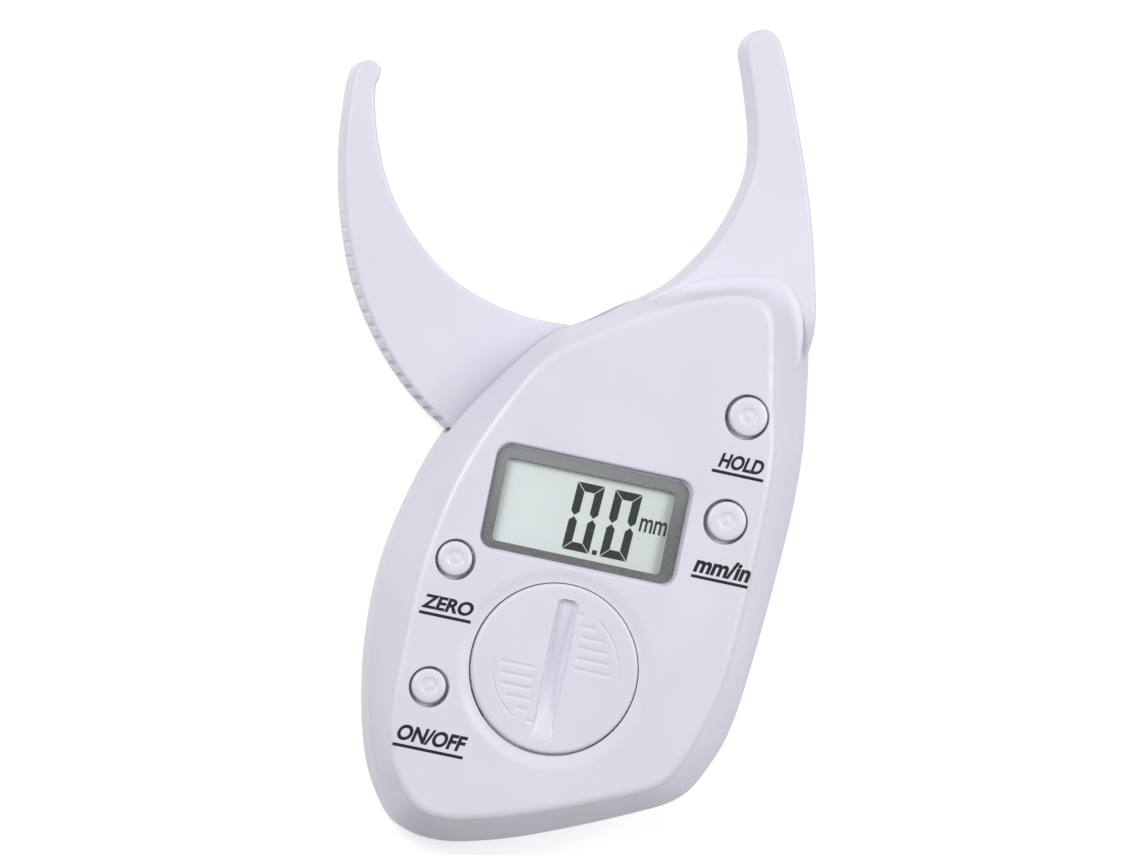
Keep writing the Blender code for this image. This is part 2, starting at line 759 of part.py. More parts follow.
def build_moving_jaw():
    # Open outline: inner edge from the hub to the tip, the tip, then the serrated edge
    inner_edge = smooth_path(jaw_points(moving_inner_shares, open_jaw_angle), 3, closed=False)
    outer_edge = smooth_path(jaw_points(moving_outer_shares, open_jaw_angle), 4, closed=False)
    outer_edge = resampled(outer_edge, arm_point_step)
    # The hidden heel follows the case edge that it lies behind when the jaws are closed
    heel = []
    heel_limit = edge_radius(heel_start_angle + slot_clearance) - heel_wall_share * rear_wall
    for k in range(arc_steps + 1):
        angle = heel_start_angle + heel_sweep * k / arc_steps
        radius = min(edge_radius(angle - swing) - heel_margin, heel_limit)
        heel.append(radius * direction(angle))
    hub_sweep = open_jaw_angle - hub_lead + math.tau - heel_end_angle
    hub = [hub_radius * direction(heel_end_angle + hub_sweep * k / hub_steps)
           for k in range(hub_steps + 1)]
    outline = inner_edge + outer_edge + heel + hub

    # Serrations: round notches into the outer edge, one pitch apart
    first = len(inner_edge)
    toothed = list(outline)
    bottoms = inset(outline, serration_depth)
    for i in range(first, first + len(outer_edge)):
        along = (i - first) * arm_point_step - serration_first
        if along > 0:
            depth_share = math.sin(math.pi * along / serration_pitch) ** 2
            toothed[i] = outline[i].lerp(bottoms[i], depth_share)
    shelf = arm_bottom + serration_base
    jaw = loft("moving_jaw", [
        at_height(inset(outline, edge_round), arm_bottom),
        at_height(outline, arm_bottom + edge_round),
        at_height(outline, shelf),
        at_height(toothed, shelf + edge_round / 2.0),
        at_height(toothed, arm_top - edge_round),
        at_height(inset(toothed, edge_round * serrated_round_share), arm_top),
    ])
    place(jaw, "white_plastic")
    cut(jaw, cylinder("jaw_bore", axle_radius + axle_gap, arm_bottom - overrun,
                      arm_top + overrun))
    cut(jaw, cylinder("spring_pocket", spring_pocket_radius, arm_bottom - overrun,
                      arm_bottom + spring_pocket_depth, sides=40))
    groove = block("spring_groove", (0, -spring_wire, arm_bottom + spring_wire),
                   (spring_coil_radius + spring_leg + spring_wire, spring_wire,
                    arm_bottom + spring_pocket_depth))
    groove.rotation_euler.z = spring_end_angle
    cut(jaw, groove)
    return jaw


def edge_radius(angle):
    # Distance from the pivot to the case's seam line in one direction
    points = case_outline(0.0)
    ray = direction(angle)
    best = 0.0
    for a, b in zip(points, points[1:] + points[:1]):
        side_a = ray.x * a.y - ray.y * a.x
        side_b = ray.x * b.y - ray.y * b.x
        if side_a * side_b <= 0.0 and side_a != side_b:
            crossing = a.lerp(b, side_a / (side_a - side_b))
            best = max(best, crossing.dot(ray))
    return best


def build_return_spring():
    # Torsion spring: a coil between two radial legs, all one wire
    points = []
    turn_points = 16
    count = round(spring_turn / math.tau * turn_points)
    low = rear_floor + seat_gap + spring_wire / 2.0
    for k in range(count + 1):
        point = spring_coil_radius * direction(spring_start_angle + spring_turn * k / count)
        point.z = low + spring_pitch * k / turn_points
        points.append(point)
    start_leg = points[0] + spring_leg * direction(spring_start_angle)
    end_leg = points[-1] + spring_leg * direction(spring_end_angle)
    route = [start_leg] + points + [end_leg]
    least = min((a - b).length for i, a in enumerate(points)
                for b in points[i + turn_points // 2:])
    print("Return spring, least gap to itself in mm:", round((least - spring_wire) * 1000.0, 3))
    curve = bpy.data.curves.new("return_spring", "CURVE")
    curve.dimensions = "3D"
    curve.bevel_depth = spring_wire / 2.0
    curve.bevel_resolution = 1
    curve.use_fill_caps = True
    spline = curve.splines.new("POLY")
    spline.points.add(len(route) - 1)
    for target, point in zip(spline.points, route):
        target.co = (*point, 1.0)
    return place(bpy.data.objects.new("return_spring", curve), "spring_steel")


def build_pivot():
    axle_chamfer = axle_radius * axle_chamfer_share
    axle_top = axle_foot + axle_length
    place(turned("pivot_axle", [
        (0, axle_top), (axle_radius - axle_chamfer, axle_top),
        (axle_radius, axle_top - axle_chamfer), (axle_radius, axle_foot + axle_chamfer),
        (axle_radius - axle_chamfer, axle_foot), (0, axle_foot)]), "zinc_steel")
    washer_bottom = pivot_boss_top + seat_gap
    washer_top = washer_bottom + washer_thickness
    bore = axle_radius + 2.0 * axle_gap
    place(turned("pivot_washer", [
        (bore, washer_top), (washer_radius, washer_top), (washer_radius, washer_bottom),
        (bore, washer_bottom)], closed=True), "washer_nylon")
    clip_bottom = arm_top + seat_gap
    place(prism("pivot_clip", sector(bore, clip_radius, clip_opening / 2.0,
                                     math.tau - clip_opening / 2.0, 16),
                clip_bottom, clip_bottom + clip_thickness), "spring_steel")
    middle = open_jaw_angle + math.pi / 2.0
    plate = prism("travel_scale_plate", sector(clip_radius + plate_inner_gap,
                                               hub_radius - plate_margin,
                                               middle - plate_sweep / 2.0,
                                               middle + plate_sweep / 2.0, 18),
                  arm_top + seat_gap, arm_top + seat_gap + plate_thickness)
    place(plate, "copper")


def build_board():
    outline = case_outline(board_outline_share, front_wall + board_margin)[::2]
    board = prism("main_board", below(outline, board_top_edge), board_bottom, board_top)
    place(board, "board")
    holes = [(centre, case_boss_radius) for centre in case_screw_places]
    holes += [(centre, board_screw_radius) for centre in board_screw_places]
    holes += [(Vector((0, 0, 0)), axle_radius)]
    for number, (centre, radius) in enumerate(holes, 1):
        cut(board, cylinder("board_hole_" + str(number), radius + board_hole_gap,
                            board_bottom - overrun, board_top + overrun, centre, 16))

    dome_steps = 6
    dome = [(0, board_seat + driver_dome_height)]
    for k in range(1, dome_steps):
        angle = math.pi / 2.0 * k / dome_steps
        dome.append((driver_dome_radius * math.sin(angle),
                     board_seat + driver_dome_height * math.cos(angle)))
    dome += [(driver_dome_radius, board_seat), (0, board_seat)]
    place(turned("display_driver", dome, 16), "black_resin", (display_x, display_y, 0))

    crystal = cylinder("timing_crystal", crystal_radius, -crystal_length / 2.0,
                       crystal_length / 2.0, sides=20)
    crystal.rotation_euler.x = math.pi / 2.0
    place(crystal, "zinc_steel", (lens_right + crystal_gap, lens_bottom + crystal_rise,
                                  board_seat + crystal_radius))


def build_display():
    centre = (display_x, display_y)
    lens_top = case_height - lens_sink
    place(loft("display_lens", [
        at_height(rounded_rectangle(centre, lens_length, lens_width, lens_corner),
                  lens_top - lens_thickness),
        at_height(rounded_rectangle(centre, lens_length, lens_width, lens_corner),
                  lens_top - lens_gap),
        at_height(rounded_rectangle(centre, lens_length - 2.0 * lens_gap,
                                    lens_width - 2.0 * lens_gap, lens_corner - lens_gap),
                  lens_top)]), "clear_plastic")
    panel_length = lens_length - 2.0 * panel_margin
    panel_width = lens_width - 2.0 * panel_margin
    panel_top = ceiling - seat_gap
    panel_bottom = panel_top - panel_thickness
    low = Vector((display_x - panel_length / 2.0, display_y - panel_width / 2.0, panel_bottom))
    high = Vector((display_x + panel_length / 2.0, display_y + panel_width / 2.0, panel_top))
    place(block("display_panel", low, high), "display_glass")

    holder_top = panel_bottom - seat_gap
    holder = block("display_holder", (low.x, low.y, board_seat), (high.x, high.y, holder_top))
    place(holder, "holder_plastic")
    cut(holder, block("holder_opening",
                      (low.x + holder_wall, low.y + holder_wall, board_seat - overrun),
                      (high.x - holder_wall, high.y - holder_wall, holder_top + overrun)))
    strip_low_x = low.x + holder_wall + strip_end_gap
    strip_high_x = high.x - holder_wall - strip_end_gap
    for name, y in (("lower", low.y + holder_wall + seat_gap),
                    ("upper", high.y - holder_wall - seat_gap - strip_width)):
        place(block("contact_strip_" + name, (strip_low_x, y, board_seat),
                    (strip_high_x, y + strip_width, holder_top)), "contact_rubber")


def build_battery():
    place(turned("coin_cell", [
        (0, cell_top), (cell_radius - cell_step, cell_top), (cell_radius, cell_top - cell_step),
        (cell_radius, cell_bottom + cell_step), (cell_rim_radius, cell_bottom + cell_step),
        (cell_rim_radius - cell_step, cell_bottom), (0, cell_bottom)], 28),
        "zinc_steel", cover_place)
    plate_top = board_seat + contact_thickness
    negative = cylinder("negative_contact", contact_radius, board_seat, plate_top, sides=36)
    place(negative, "copper", cover_place)
    window = block("contact_window", (-contact_radius / 2.0, -contact_width / 2.0, 0),
                   (contact_radius / 2.0, contact_width / 2.0, case_height))
    window.location = cover_place
    cut(negative, window)
    tongue = block("contact_tongue",
                   (-contact_radius / 2.0 - contact_thickness, -contact_width / 4.0, board_seat),
                   (contact_radius / 4.0, contact_width / 4.0, plate_top))
    for vertex in tongue.data.vertices:
        if vertex.co.x > 0:
            vertex.co.z += contact_lift + tongue_rise / 2.0
    tongue.location = cover_place
    join(negative, tongue)

    side_y = chamber_radius + cell_gap
    positive = block("positive_contact", (-contact_width / 2.0, side_y, board_seat),
                     (contact_width / 2.0, side_y + contact_thickness,
                      shelf_height - 2.0 * cell_gap))
    place(positive, "copper", cover_place)

    # Cover plate, neck ring and lugs
    cover = turned("battery_cover", [
        (0, cover_top), (cover_radius - edge_round, cover_top),
        (cover_radius, cover_top - edge_round), (cover_radius, cover_underside),
        (neck_outer, cover_underside), (neck_outer, lug_bottom), (neck_inner, lug_bottom),
        (neck_inner, cover_underside - seat_gap), (0, cover_underside - seat_gap)], 40)
    place(cover, "white_plastic", cover_place)
    for side in (0, 1):
        lug = block("cover_lug_" + str(side + 1),
                    (neck_outer - neck_wall / 2.0, -lug_width / 2.0, lug_bottom),
                    (lug_radius, lug_width / 2.0, lug_top))
        lug.rotation_euler.z = side * math.pi
        lug.location = cover_place
        join(cover, lug)
    slot_length_inside = neck_inner - cell_gap
    slot_bottom = cover_top - coin_slot_depth - slot_floor
    housing = block("slot_housing",
                    (-coin_slot_width / 2.0 - slot_wall, -slot_length_inside, slot_bottom),
                    (coin_slot_width / 2.0 + slot_wall, slot_length_inside,
                     cover_underside + cover_plate / 2.0))
    housing.location = cover_place
    join(cover, housing)
    # A coin's edge, sunk into the cover to the slot's depth
    half_length = cover_radius - coin_slot_margin
    coin_radius = (half_length ** 2 + coin_slot_depth ** 2) / (2.0 * coin_slot_depth)
    coin = cylinder("coin_slot", coin_radius, -coin_slot_width / 2.0, coin_slot_width / 2.0,
                    sides=120)
    coin.rotation_euler.y = math.pi / 2.0
    coin.location = cover_place + Vector((0, 0, cover_top - coin_slot_depth + coin_radius))
    cut(cover, coin)
    near = coin_slot_width / 2.0 + grip_gap
    for side in (-1, 1):
        for row in range(grip_count):
            y = side * (row - grip_offset_share) * grip_pitch
            far = math.sqrt((cover_radius - grip_margin) ** 2 - y ** 2)
            span = sorted((side * near, side * far))
            name = "grip_groove_" + ("left_" if side < 0 else "right_") + str(row + 1)
            groove = block(name, (span[0], y - grip_groove / 2.0, cover_top - grip_depth),
                           (span[1], y + grip_groove / 2.0, cover_top + overrun))
            groove.location = cover_place
            cut(cover, groove)


def build_buttons():
    flange_top = ceiling - seat_gap
    flange_bottom = flange_top - flange_thickness
    switch_top = board_seat + switch_body
    stem_bottom = switch_top + plunger_height + button_travel + press_reserve
    cap_top = case_height + button_stand
    for name, x, y, radius in button_rows:
        crown = radius * crown_share
        cap = turned(name, [
            (0, cap_top - dimple_depth),
            (dimple_radius * dimple_floor_share, cap_top - dimple_depth),
            (dimple_radius, cap_top),
            *[(radius * across, cap_top - crown * depth) for across, depth in cap_shares],
            (radius, flange_top), (radius + flange_reach, flange_top),
            (radius + flange_reach, flange_bottom), (stem_radius, flange_bottom),
            (stem_radius, stem_bottom), (0, stem_bottom)], 18)
        place(cap, "button_plastic", (x, y, 0))
        half = switch_side / 2.0
        switch_name = name.replace("button", "switch")
        switch = block(switch_name, (-half, -half, board_seat), (half, half, switch_top))
        place(switch, "black_resin", (x, y, 0))
        plunger = cylinder(switch_name + "_plunger", plunger_radius,
                           switch_top - switch_body / 2.0, switch_top + plunger_height, sides=20)
        plunger.location = (x, y, 0)
        join(switch, plunger)


def build_screw(name, centre, radius, head, head_height, length, seat, steps):
    # A pan head on a plain shank, pointing up, with a cross recess in the head
    screw = turned(name, [
        (0, seat + length), (radius * point_share, seat + length),
        (radius, seat + length - radius), (radius, seat + head_height),
        (head, seat + head_height), (head, seat + head_height * head_rim_share),
        (head * head_top_share, seat), (0, seat)], steps)
    place(screw, "zinc_steel", centre)
    reach = head * drive_share
    half = head * drive_width_share
    depth = head_height * drive_depth_share
    for number, (wide, tall) in enumerate(((reach, half), (half, reach)), 1):
        recess = block(name + "_recess_" + str(number), (-wide, -tall, seat - overrun),
                       (wide, tall, seat + depth))
        recess.location = centre
        cut(screw, recess)


def build_screws():
    for number, centre in enumerate(case_screw_places, 1):
        build_screw("case_screw_" + str(number), centre, case_screw_radius, case_screw_head,
                    case_screw_head_height, case_screw_length, case_screw_sink, 14)
    head_seat = board_bottom - seat_gap - board_screw_head_height
    for number, centre in enumerate(board_screw_places, 1):
        build_screw("board_screw_" + str(number), centre, board_screw_radius, board_screw_head,
                    board_screw_head_height, board_screw_length, head_seat, 10)


def centre_on_origin():
    # The origin goes under the middle of the whole caliper, on the surface it lies on
    bpy.context.view_layer.update()
    depsgraph = bpy.context.evaluated_depsgraph_get()
    low = Vector((math.inf,) * 3)
    high = Vector((-math.inf,) * 3)
    for item in part_collection.objects:
        if item.type == "EMPTY":
            continue
        evaluated = item.evaluated_get(depsgraph)
        mesh = evaluated.to_mesh()
        for vertex in mesh.vertices:
            point = evaluated.matrix_world @ vertex.co
            low = Vector(map(min, low, point))
            high = Vector(map(max, high, point))
        evaluated.to_mesh_clear()
    root.location = (-(low.x + high.x) / 2.0, -(low.y + high.y) / 2.0, -low.z)
    bpy.context.view_layer.update()
    print("Pivot axis at, mm:", [round(value * 1000.0, 4) for value in root.location])
    print("Overall size, mm:", [round(value * 1000.0, 3) for value in high - low])
    print("Swing, degrees:", round(math.degrees(swing), 3))


build_front_shell()
build_rear_shell()
build_moving_jaw()
build_return_spring()
build_pivot()
build_board()
build_display()
build_battery()
build_buttons()
build_screws()
centre_on_origin()
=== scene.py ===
# Digital skinfold caliper: fine shapes, finishes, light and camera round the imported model.
# Metres. X runs along the display, Y towards the jaws, Z out of the face; it lies on its back.
import math
import bpy
import bmesh
from mathutils import Matrix, Vector


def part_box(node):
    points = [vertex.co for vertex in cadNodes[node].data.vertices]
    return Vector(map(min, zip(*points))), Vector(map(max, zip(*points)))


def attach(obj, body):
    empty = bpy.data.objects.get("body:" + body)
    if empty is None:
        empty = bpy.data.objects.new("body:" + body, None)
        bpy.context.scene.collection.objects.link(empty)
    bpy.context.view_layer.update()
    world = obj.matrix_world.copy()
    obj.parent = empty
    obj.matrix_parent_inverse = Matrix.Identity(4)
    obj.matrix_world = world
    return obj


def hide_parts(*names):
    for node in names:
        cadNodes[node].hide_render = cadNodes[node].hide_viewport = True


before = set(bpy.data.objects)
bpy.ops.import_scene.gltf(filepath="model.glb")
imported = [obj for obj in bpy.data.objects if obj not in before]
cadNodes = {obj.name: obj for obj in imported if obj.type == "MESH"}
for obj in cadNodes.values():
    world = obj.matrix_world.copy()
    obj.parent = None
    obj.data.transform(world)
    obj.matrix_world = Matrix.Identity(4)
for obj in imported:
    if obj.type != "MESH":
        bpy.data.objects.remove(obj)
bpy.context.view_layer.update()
scene = bpy.context.scene
mm = 0.001
overrun = 1 * mm        # how far a cutter runs past what it cuts
print("frame loaded:", len(cadNodes), "nodes")


# Places read from the frame
def middleOf(name):
    low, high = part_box(name)
    return (low + high) / 2


pivot = middleOf("pivot_axle")
lensLow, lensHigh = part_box("display_lens")
panelLow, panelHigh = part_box("display_panel")
coverLow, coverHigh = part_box("battery_cover")
armLow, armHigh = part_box("moving_jaw")
lensMiddle = middleOf("display_lens")
lensTrim = Vector((0.4 * mm, 0.8 * mm, 0.0))        # its left and upper edges lie further in
lensSpan = lensHigh - lensLow - lensTrim
lensSpot = lensMiddle + Vector((lensTrim.x, -lensTrim.y, 0.0)) / 2
coverMiddle = middleOf("battery_cover")
faceHeight = lensHigh.z + 0.1 * mm
screwNames = ["case_screw_%d" % (i + 1) for i in range(4)]
boardScrewNames = ["board_screw_%d" % (i + 1) for i in range(3)]


# Shader toolkit: a socket with arithmetic, and one method for every other node
class Wire:
    def __init__(self, draft, socket):
        self.draft = draft
        self.socket = socket

    def maths(self, operation, other=None, first=False):
        pair = (other, self) if first else (self, other)
        values = {i: v for i, v in enumerate(pair) if v is not None}
        return self.draft.add("ShaderNodeMath", {"operation": operation}, values)

    def __add__(self, other): return self.maths("ADD", other)
    def __radd__(self, other): return self.maths("ADD", other)
    def __sub__(self, other): return self.maths("SUBTRACT", other)
    def __rsub__(self, other): return self.maths("SUBTRACT", other, True)
    def __mul__(self, other): return self.maths("MULTIPLY", other)
    def __rmul__(self, other): return self.maths("MULTIPLY", other)
    def __truediv__(self, other): return self.maths("DIVIDE", other)
    def __rtruediv__(self, other): return self.maths("DIVIDE", other, True)
    def __pow__(self, other): return self.maths("POWER", other)
    def larger(self, other): return self.maths("MAXIMUM", other)

    def ramp(self, low, high, start=0.0, end=1.0):
        settings = {"interpolation_type": "SMOOTHSTEP"}
        values = {"Value": self, "From Min": low, "From Max": high, "To Min": start, "To Max": end}
        return self.draft.add("ShaderNodeMapRange", settings, values)

    def part(self, axis):
        return self.draft.add("ShaderNodeSeparateXYZ", {}, {"Vector": self}, axis)


class Finish:
    def __init__(self, name, colour, roughness, metallic=0.0, **constants):
        self.material = bpy.data.materials.new(name)
        self.material.use_nodes = True
        self.tree = self.material.node_tree
        self.shader = self.tree.nodes["Principled BSDF"]
        self.output = self.tree.nodes["Material Output"]
        self.put("Base Color", (*colour, 1.0))
        self.put("Roughness", roughness)
        self.put("Metallic", metallic)
        for key, value in constants.items():
            self.put(key.replace("_", " "), value)
        self.place = self.add("ShaderNodeTexCoord", {}, {}, "Object")

    def add(self, kind, settings, values, output=0):
        node = self.tree.nodes.new(kind)
        for key, value in settings.items():
            setattr(node, key, value)
        for key, value in values.items():
            if isinstance(value, Wire):
                self.tree.links.new(value.socket, node.inputs[key])
            else:
                node.inputs[key].default_value = value
        return Wire(self, node.outputs[output])

    def put(self, name, value):
        if isinstance(value, Wire):
            self.tree.links.new(value.socket, self.shader.inputs[name])
        else:
            self.shader.inputs[name].default_value = value

    def noise(self, size, detail=3.0, roughness=0.5, stretch=(1, 1, 1), output=0):
        place = self.place
        if stretch != (1, 1, 1):
            place = self.add("ShaderNodeMapping", {}, {"Vector": place, "Scale": stretch})
        return self.add("ShaderNodeTexNoise", {}, {"Vector": place, "Scale": 1.0 / size,
                                                   "Detail": detail, "Roughness": roughness}, output)

    def cells(self, size, feature="F1", output="Distance"):
        return self.add("ShaderNodeTexVoronoi", {"feature": feature},
                        {"Vector": self.place, "Scale": 1.0 / size}, output)

    def blend(self, share, first, second, mode="MIX"):
        settings = {"data_type": "RGBA", "blend_type": mode, "clamp_factor": True}
        return self.add("ShaderNodeMix", settings, {0: share, 6: first, 7: second}, 2)

    def bump(self, height, depth, strength=1.0, under=None):
        values = {"Height": height, "Distance": depth, "Strength": strength}
        if under is not None:
            values["Normal"] = under
        return self.add("ShaderNodeBump", {}, values)


def shade(colour, factor):
    return (*[min(1.0, c * factor) for c in colour], 1.0)


# Finishes
def mouldedPlastic(name, colour, roughness, grain=1.0, wornHeights=None):
    finish = Finish(name, colour, roughness, Specular_IOR_Level=0.45)
    clouds = finish.noise(14 * mm, 3.0)
    flecks = finish.noise(1.1 * mm, 2.0)
    pale = finish.blend(clouds.ramp(0.30, 0.70), shade(colour, 0.978), shade(colour, 1.018))
    tinted = finish.blend(flecks.ramp(0.62, 0.80) * 0.35, pale, shade(colour, 0.955))
    handled = finish.noise(24 * mm, 4.0, 0.6).ramp(0.46, 0.72)
    scuffs = finish.noise(2.6 * mm, 4.0, 0.65, (1.0, 0.16, 1.0)).ramp(0.66, 0.76)
    rough = roughness + handled * -0.05 + flecks * 0.05 + scuffs * 0.07
    if wornHeights is not None:
        height = finish.place.part("Z")
        low, high = wornHeights
        edge = height.ramp(low - 0.5 * mm, low) * (1 - height.ramp(high - 0.04 * mm, high))
        patches = finish.noise(5 * mm, 4.0, 0.6).ramp(0.42, 0.62)
        worn = edge * patches
        tinted = finish.blend(worn * 0.30, tinted, shade(colour, 1.05))
        rough = rough - worn * 0.10
    finish.put("Base Color", tinted)
    finish.put("Roughness", rough)
    etched = finish.noise(0.16 * mm, 2.0, 0.55)
    waves = finish.noise(3.5 * mm, 2.0)
    relief = finish.bump(etched, 0.0045 * mm * grain)
    relief = finish.bump(waves, 0.012 * mm, 0.6, relief)
    finish.put("Normal", relief)
    return finish.material


def printedInk(name, colour, paintedLitTop=None):
    finish = Finish(name, colour, 0.42, Specular_IOR_Level=0.2)
    blots = finish.noise(0.35 * mm, 3.0)
    ink = finish.blend(blots.ramp(0.35, 0.75), shade(colour, 0.85), shade(colour, 1.25))
    # Painted light: a second colour makes the border lighter towards its top and darker towards its bottom,
    # as the lit and shaded sides of a bevel. The ink itself is one grey with blots.
    if paintedLitTop is not None:
        paintedLightAcross = finish.place.part("X") * 0.25 - finish.place.part("Y")
        share = paintedLightAcross.ramp(-lensMiddle.y - 8 * mm, -lensMiddle.y + 9 * mm)
        ink = finish.blend(share, finish.blend(blots, shade(paintedLitTop, 0.94), shade(paintedLitTop, 1.06)), ink)
    finish.put("Base Color", ink)
    finish.put("Roughness", 0.36 + blots * 0.16)
    finish.put("Normal", finish.bump(blots, 0.003 * mm))
    return finish.material


def clearAcrylic(name):
    finish = Finish(name, (0.24, 0.26, 0.26), 0.04, IOR=1.49)
    wipes = finish.noise(9 * mm, 5.0, 0.6, (1.0, 0.35, 1.0)).ramp(0.50, 0.80)
    hairs = finish.noise(0.9 * mm, 3.0, 0.6, (1.0, 0.06, 1.0)).ramp(0.70, 0.74)
    finish.put("Roughness", 0.03 + wipes * 0.05 + hairs * 0.12)
    finish.put("Alpha", 0.06 + wipes * 0.02 + hairs * 0.05)
    return finish.material


def crystalGlass(name, colour):
    finish = Finish(name, colour, 0.22, Specular_IOR_Level=0.35)
    # Painted light: the panel is painted lighter at its left end and darker at its right, as light falling
    # off across it.
    paintedLightAcross = finish.place.part("X").ramp(panelLow.x, panelHigh.x)
    grain = finish.noise(0.09 * mm, 2.0)
    paintedFalloff = finish.blend(paintedLightAcross, shade(colour, 1.06), shade(colour, 0.965))
    finish.put("Base Color", finish.blend(grain * 0.25, paintedFalloff, shade(colour, 0.93)))
    finish.put("Roughness", 0.20 + grain * 0.12)
    return finish.material


def brushedMetal(name, colour, roughness, size=0.3, stretch=(1.0, 0.08, 1.0)):
    finish = Finish(name, colour, roughness, 1.0)
    strokes = finish.noise(size * mm, 4.0, 0.6, stretch)
    stains = finish.noise(4 * mm, 4.0, 0.6).ramp(0.45, 0.75)
    clean = finish.blend(strokes, shade(colour, 0.86), shade(colour, 1.1))
    finish.put("Base Color", finish.blend(stains * 0.5, clean, shade(colour, 0.74)))
    finish.put("Roughness", roughness - 0.06 + strokes * 0.14 + stains * 0.12)
    finish.put("Normal", finish.bump(strokes, 0.004 * mm))
    return finish.material


def circuitBoard(name):
    mask, copper = (0.016, 0.13, 0.055), (0.035, 0.21, 0.09)
    finish = Finish(name, mask, 0.34)
    tracks = finish.add("ShaderNodeTexBrick", {"offset": 0.5, "squash": 0.6, "squash_frequency": 3},
                        {"Vector": finish.place, "Scale": 130.0, "Mortar Size": 0.035,
                         "Mortar Smooth": 0.1}, "Fac")
    weave = finish.noise(0.5 * mm, 3.0)
    drill = 1 - finish.cells(4.2 * mm).ramp(0.10, 0.13)
    lines = finish.blend(tracks, shade(mask, 1.0), shade(copper, 1.0))
    lines = finish.blend(weave * 0.3, lines, shade(mask, 0.7))
    finish.put("Base Color", finish.blend(drill * 0.9, lines, (0.62, 0.50, 0.20, 1.0)))
    finish.put("Roughness", 0.30 + weave * 0.15)
    finish.put("Normal", finish.bump(tracks * 0.6 + drill * 0.4, 0.02 * mm))
    return finish.material


def mottled(name, colour, roughness, size, spread=0.12, depth=0.01):
    finish = Finish(name, colour, roughness)
    spots = finish.noise(size * mm, 4.0, 0.55)
    finish.put("Base Color", finish.blend(spots.ramp(0.3, 0.7), shade(colour, 1 - spread),
                                          shade(colour, 1 + spread)))
    finish.put("Roughness", roughness - 0.05 + spots * 0.12)
    finish.put("Normal", finish.bump(spots, depth * mm))
    return finish.material


def layeredRubber(name):
    pink, black = (0.62, 0.26, 0.30), (0.03, 0.03, 0.035)
    finish = Finish(name, pink, 0.55)
    along = finish.place.part("X")
    bands = (along * (math.tau / (0.18 * mm))).maths("SINE").ramp(-0.15, 0.15)
    spots = finish.noise(0.2 * mm, 3.0)
    finish.put("Base Color", finish.blend(bands * 0.85, (*pink, 1.0), (*black, 1.0)))
    finish.put("Roughness", 0.48 + spots * 0.2)
    finish.put("Normal", finish.bump(spots, 0.01 * mm))
    return finish.material


white = (0.715, 0.715, 0.815)
finishes = {
    "casePlastic": mouldedPlastic("case_plastic", white, 0.36, 1.0,
                                  (faceHeight - 0.8 * mm, faceHeight - 0.02 * mm)),
    "jawPlastic": mouldedPlastic("jaw_plastic", white, 0.35),
    "coverPlastic": mouldedPlastic("cover_plastic", white, 0.34),
    "capPlastic": mouldedPlastic("cap_plastic", (0.725, 0.725, 0.82), 0.30, 0.5),
    "lens": clearAcrylic("lens_acrylic"),
    # The border's ink carries painted shade: it is lighter at the top and darker at the bottom.
    "lensBorder": printedInk("border_ink_and_painted_shade", (0.165, 0.165, 0.168), (0.30, 0.30, 0.305)),
    "crystal": crystalGlass("liquid_crystal", (0.80, 0.885, 0.885)),
    "segmentInk": printedInk("segment_black", (0.012, 0.013, 0.014)),
    "labelInk": printedInk("label_black", (0.014, 0.014, 0.017)),
    "holder": mottled("holder_plastic", (0.72, 0.72, 0.70), 0.48, 3.0, 0.04),
    "rubber": layeredRubber("layered_rubber"),
    "board": circuitBoard("board_laminate"),
    "resin": mottled("black_resin", (0.018, 0.018, 0.02), 0.28, 0.8, 0.35, 0.02),
    "copper": brushedMetal("plated_copper", (0.80, 0.60, 0.30), 0.30),
    "spring": brushedMetal("spring_steel", (0.56, 0.56, 0.58), 0.26, 0.12),
    "zinc": brushedMetal("zinc_plate", (0.64, 0.645, 0.66), 0.30, 0.25, (1.0, 1.0, 0.1)),
    "nylon": mottled("natural_nylon", (0.80, 0.79, 0.74), 0.46, 0.9, 0.05),
}
print("finishes:", len(finishes))


# Outline toolkit
def heading(angle):
    return Vector((math.cos(angle), math.sin(angle), 0.0))


def throughPoints(points, steps, closed=True):
    # A smooth curve through the points, whose direction at each follows its two neighbours
    count = len(points)
    slopes = []
    for i in range(count):
        before = points[i - 1] if closed or i else points[i]
        after = points[(i + 1) % count] if closed or i < count - 1 else points[i]
        slopes.append((after - before).normalized())
    path = []
    for i in range(count if closed else count - 1):
        j = (i + 1) % count
        length = (points[j] - points[i]).length
        for k in range(steps):
            t = k / steps
            path.append((2 * t ** 3 - 3 * t ** 2 + 1) * points[i]
                        + (3 * t ** 2 - 2 * t ** 3) * points[j]
                        + (t ** 3 - 2 * t ** 2 + t) * length * slopes[i]
                        + (t ** 3 - t ** 2) * length * slopes[j])
    return path if closed else path + [points[-1]]


def areaOf(points):
    return sum(a.x * b.y - b.x * a.y for a, b in zip(points, points[1:] + points[:1])) / 2


def pulledIn(points, distance):
    # Each point moved square to the outline; the distance is one number or one for each point
    side = 1.0 if areaOf(points) > 0 else -1.0
    moved = []
    for i, point in enumerate(points):
        before = (point - points[i - 1]).normalized()
        after = (points[(i + 1) % len(points)] - point).normalized()
        along = (before + after).normalized()
        reach = distance[i] if isinstance(distance, list) else distance
        reach /= max(0.5, along.dot(before))
        moved.append(point + Vector((-along.y, along.x, 0)) * side * reach)
    return moved


def lifted(points, height):
    return [Vector((p.x, p.y, height)) for p in points]


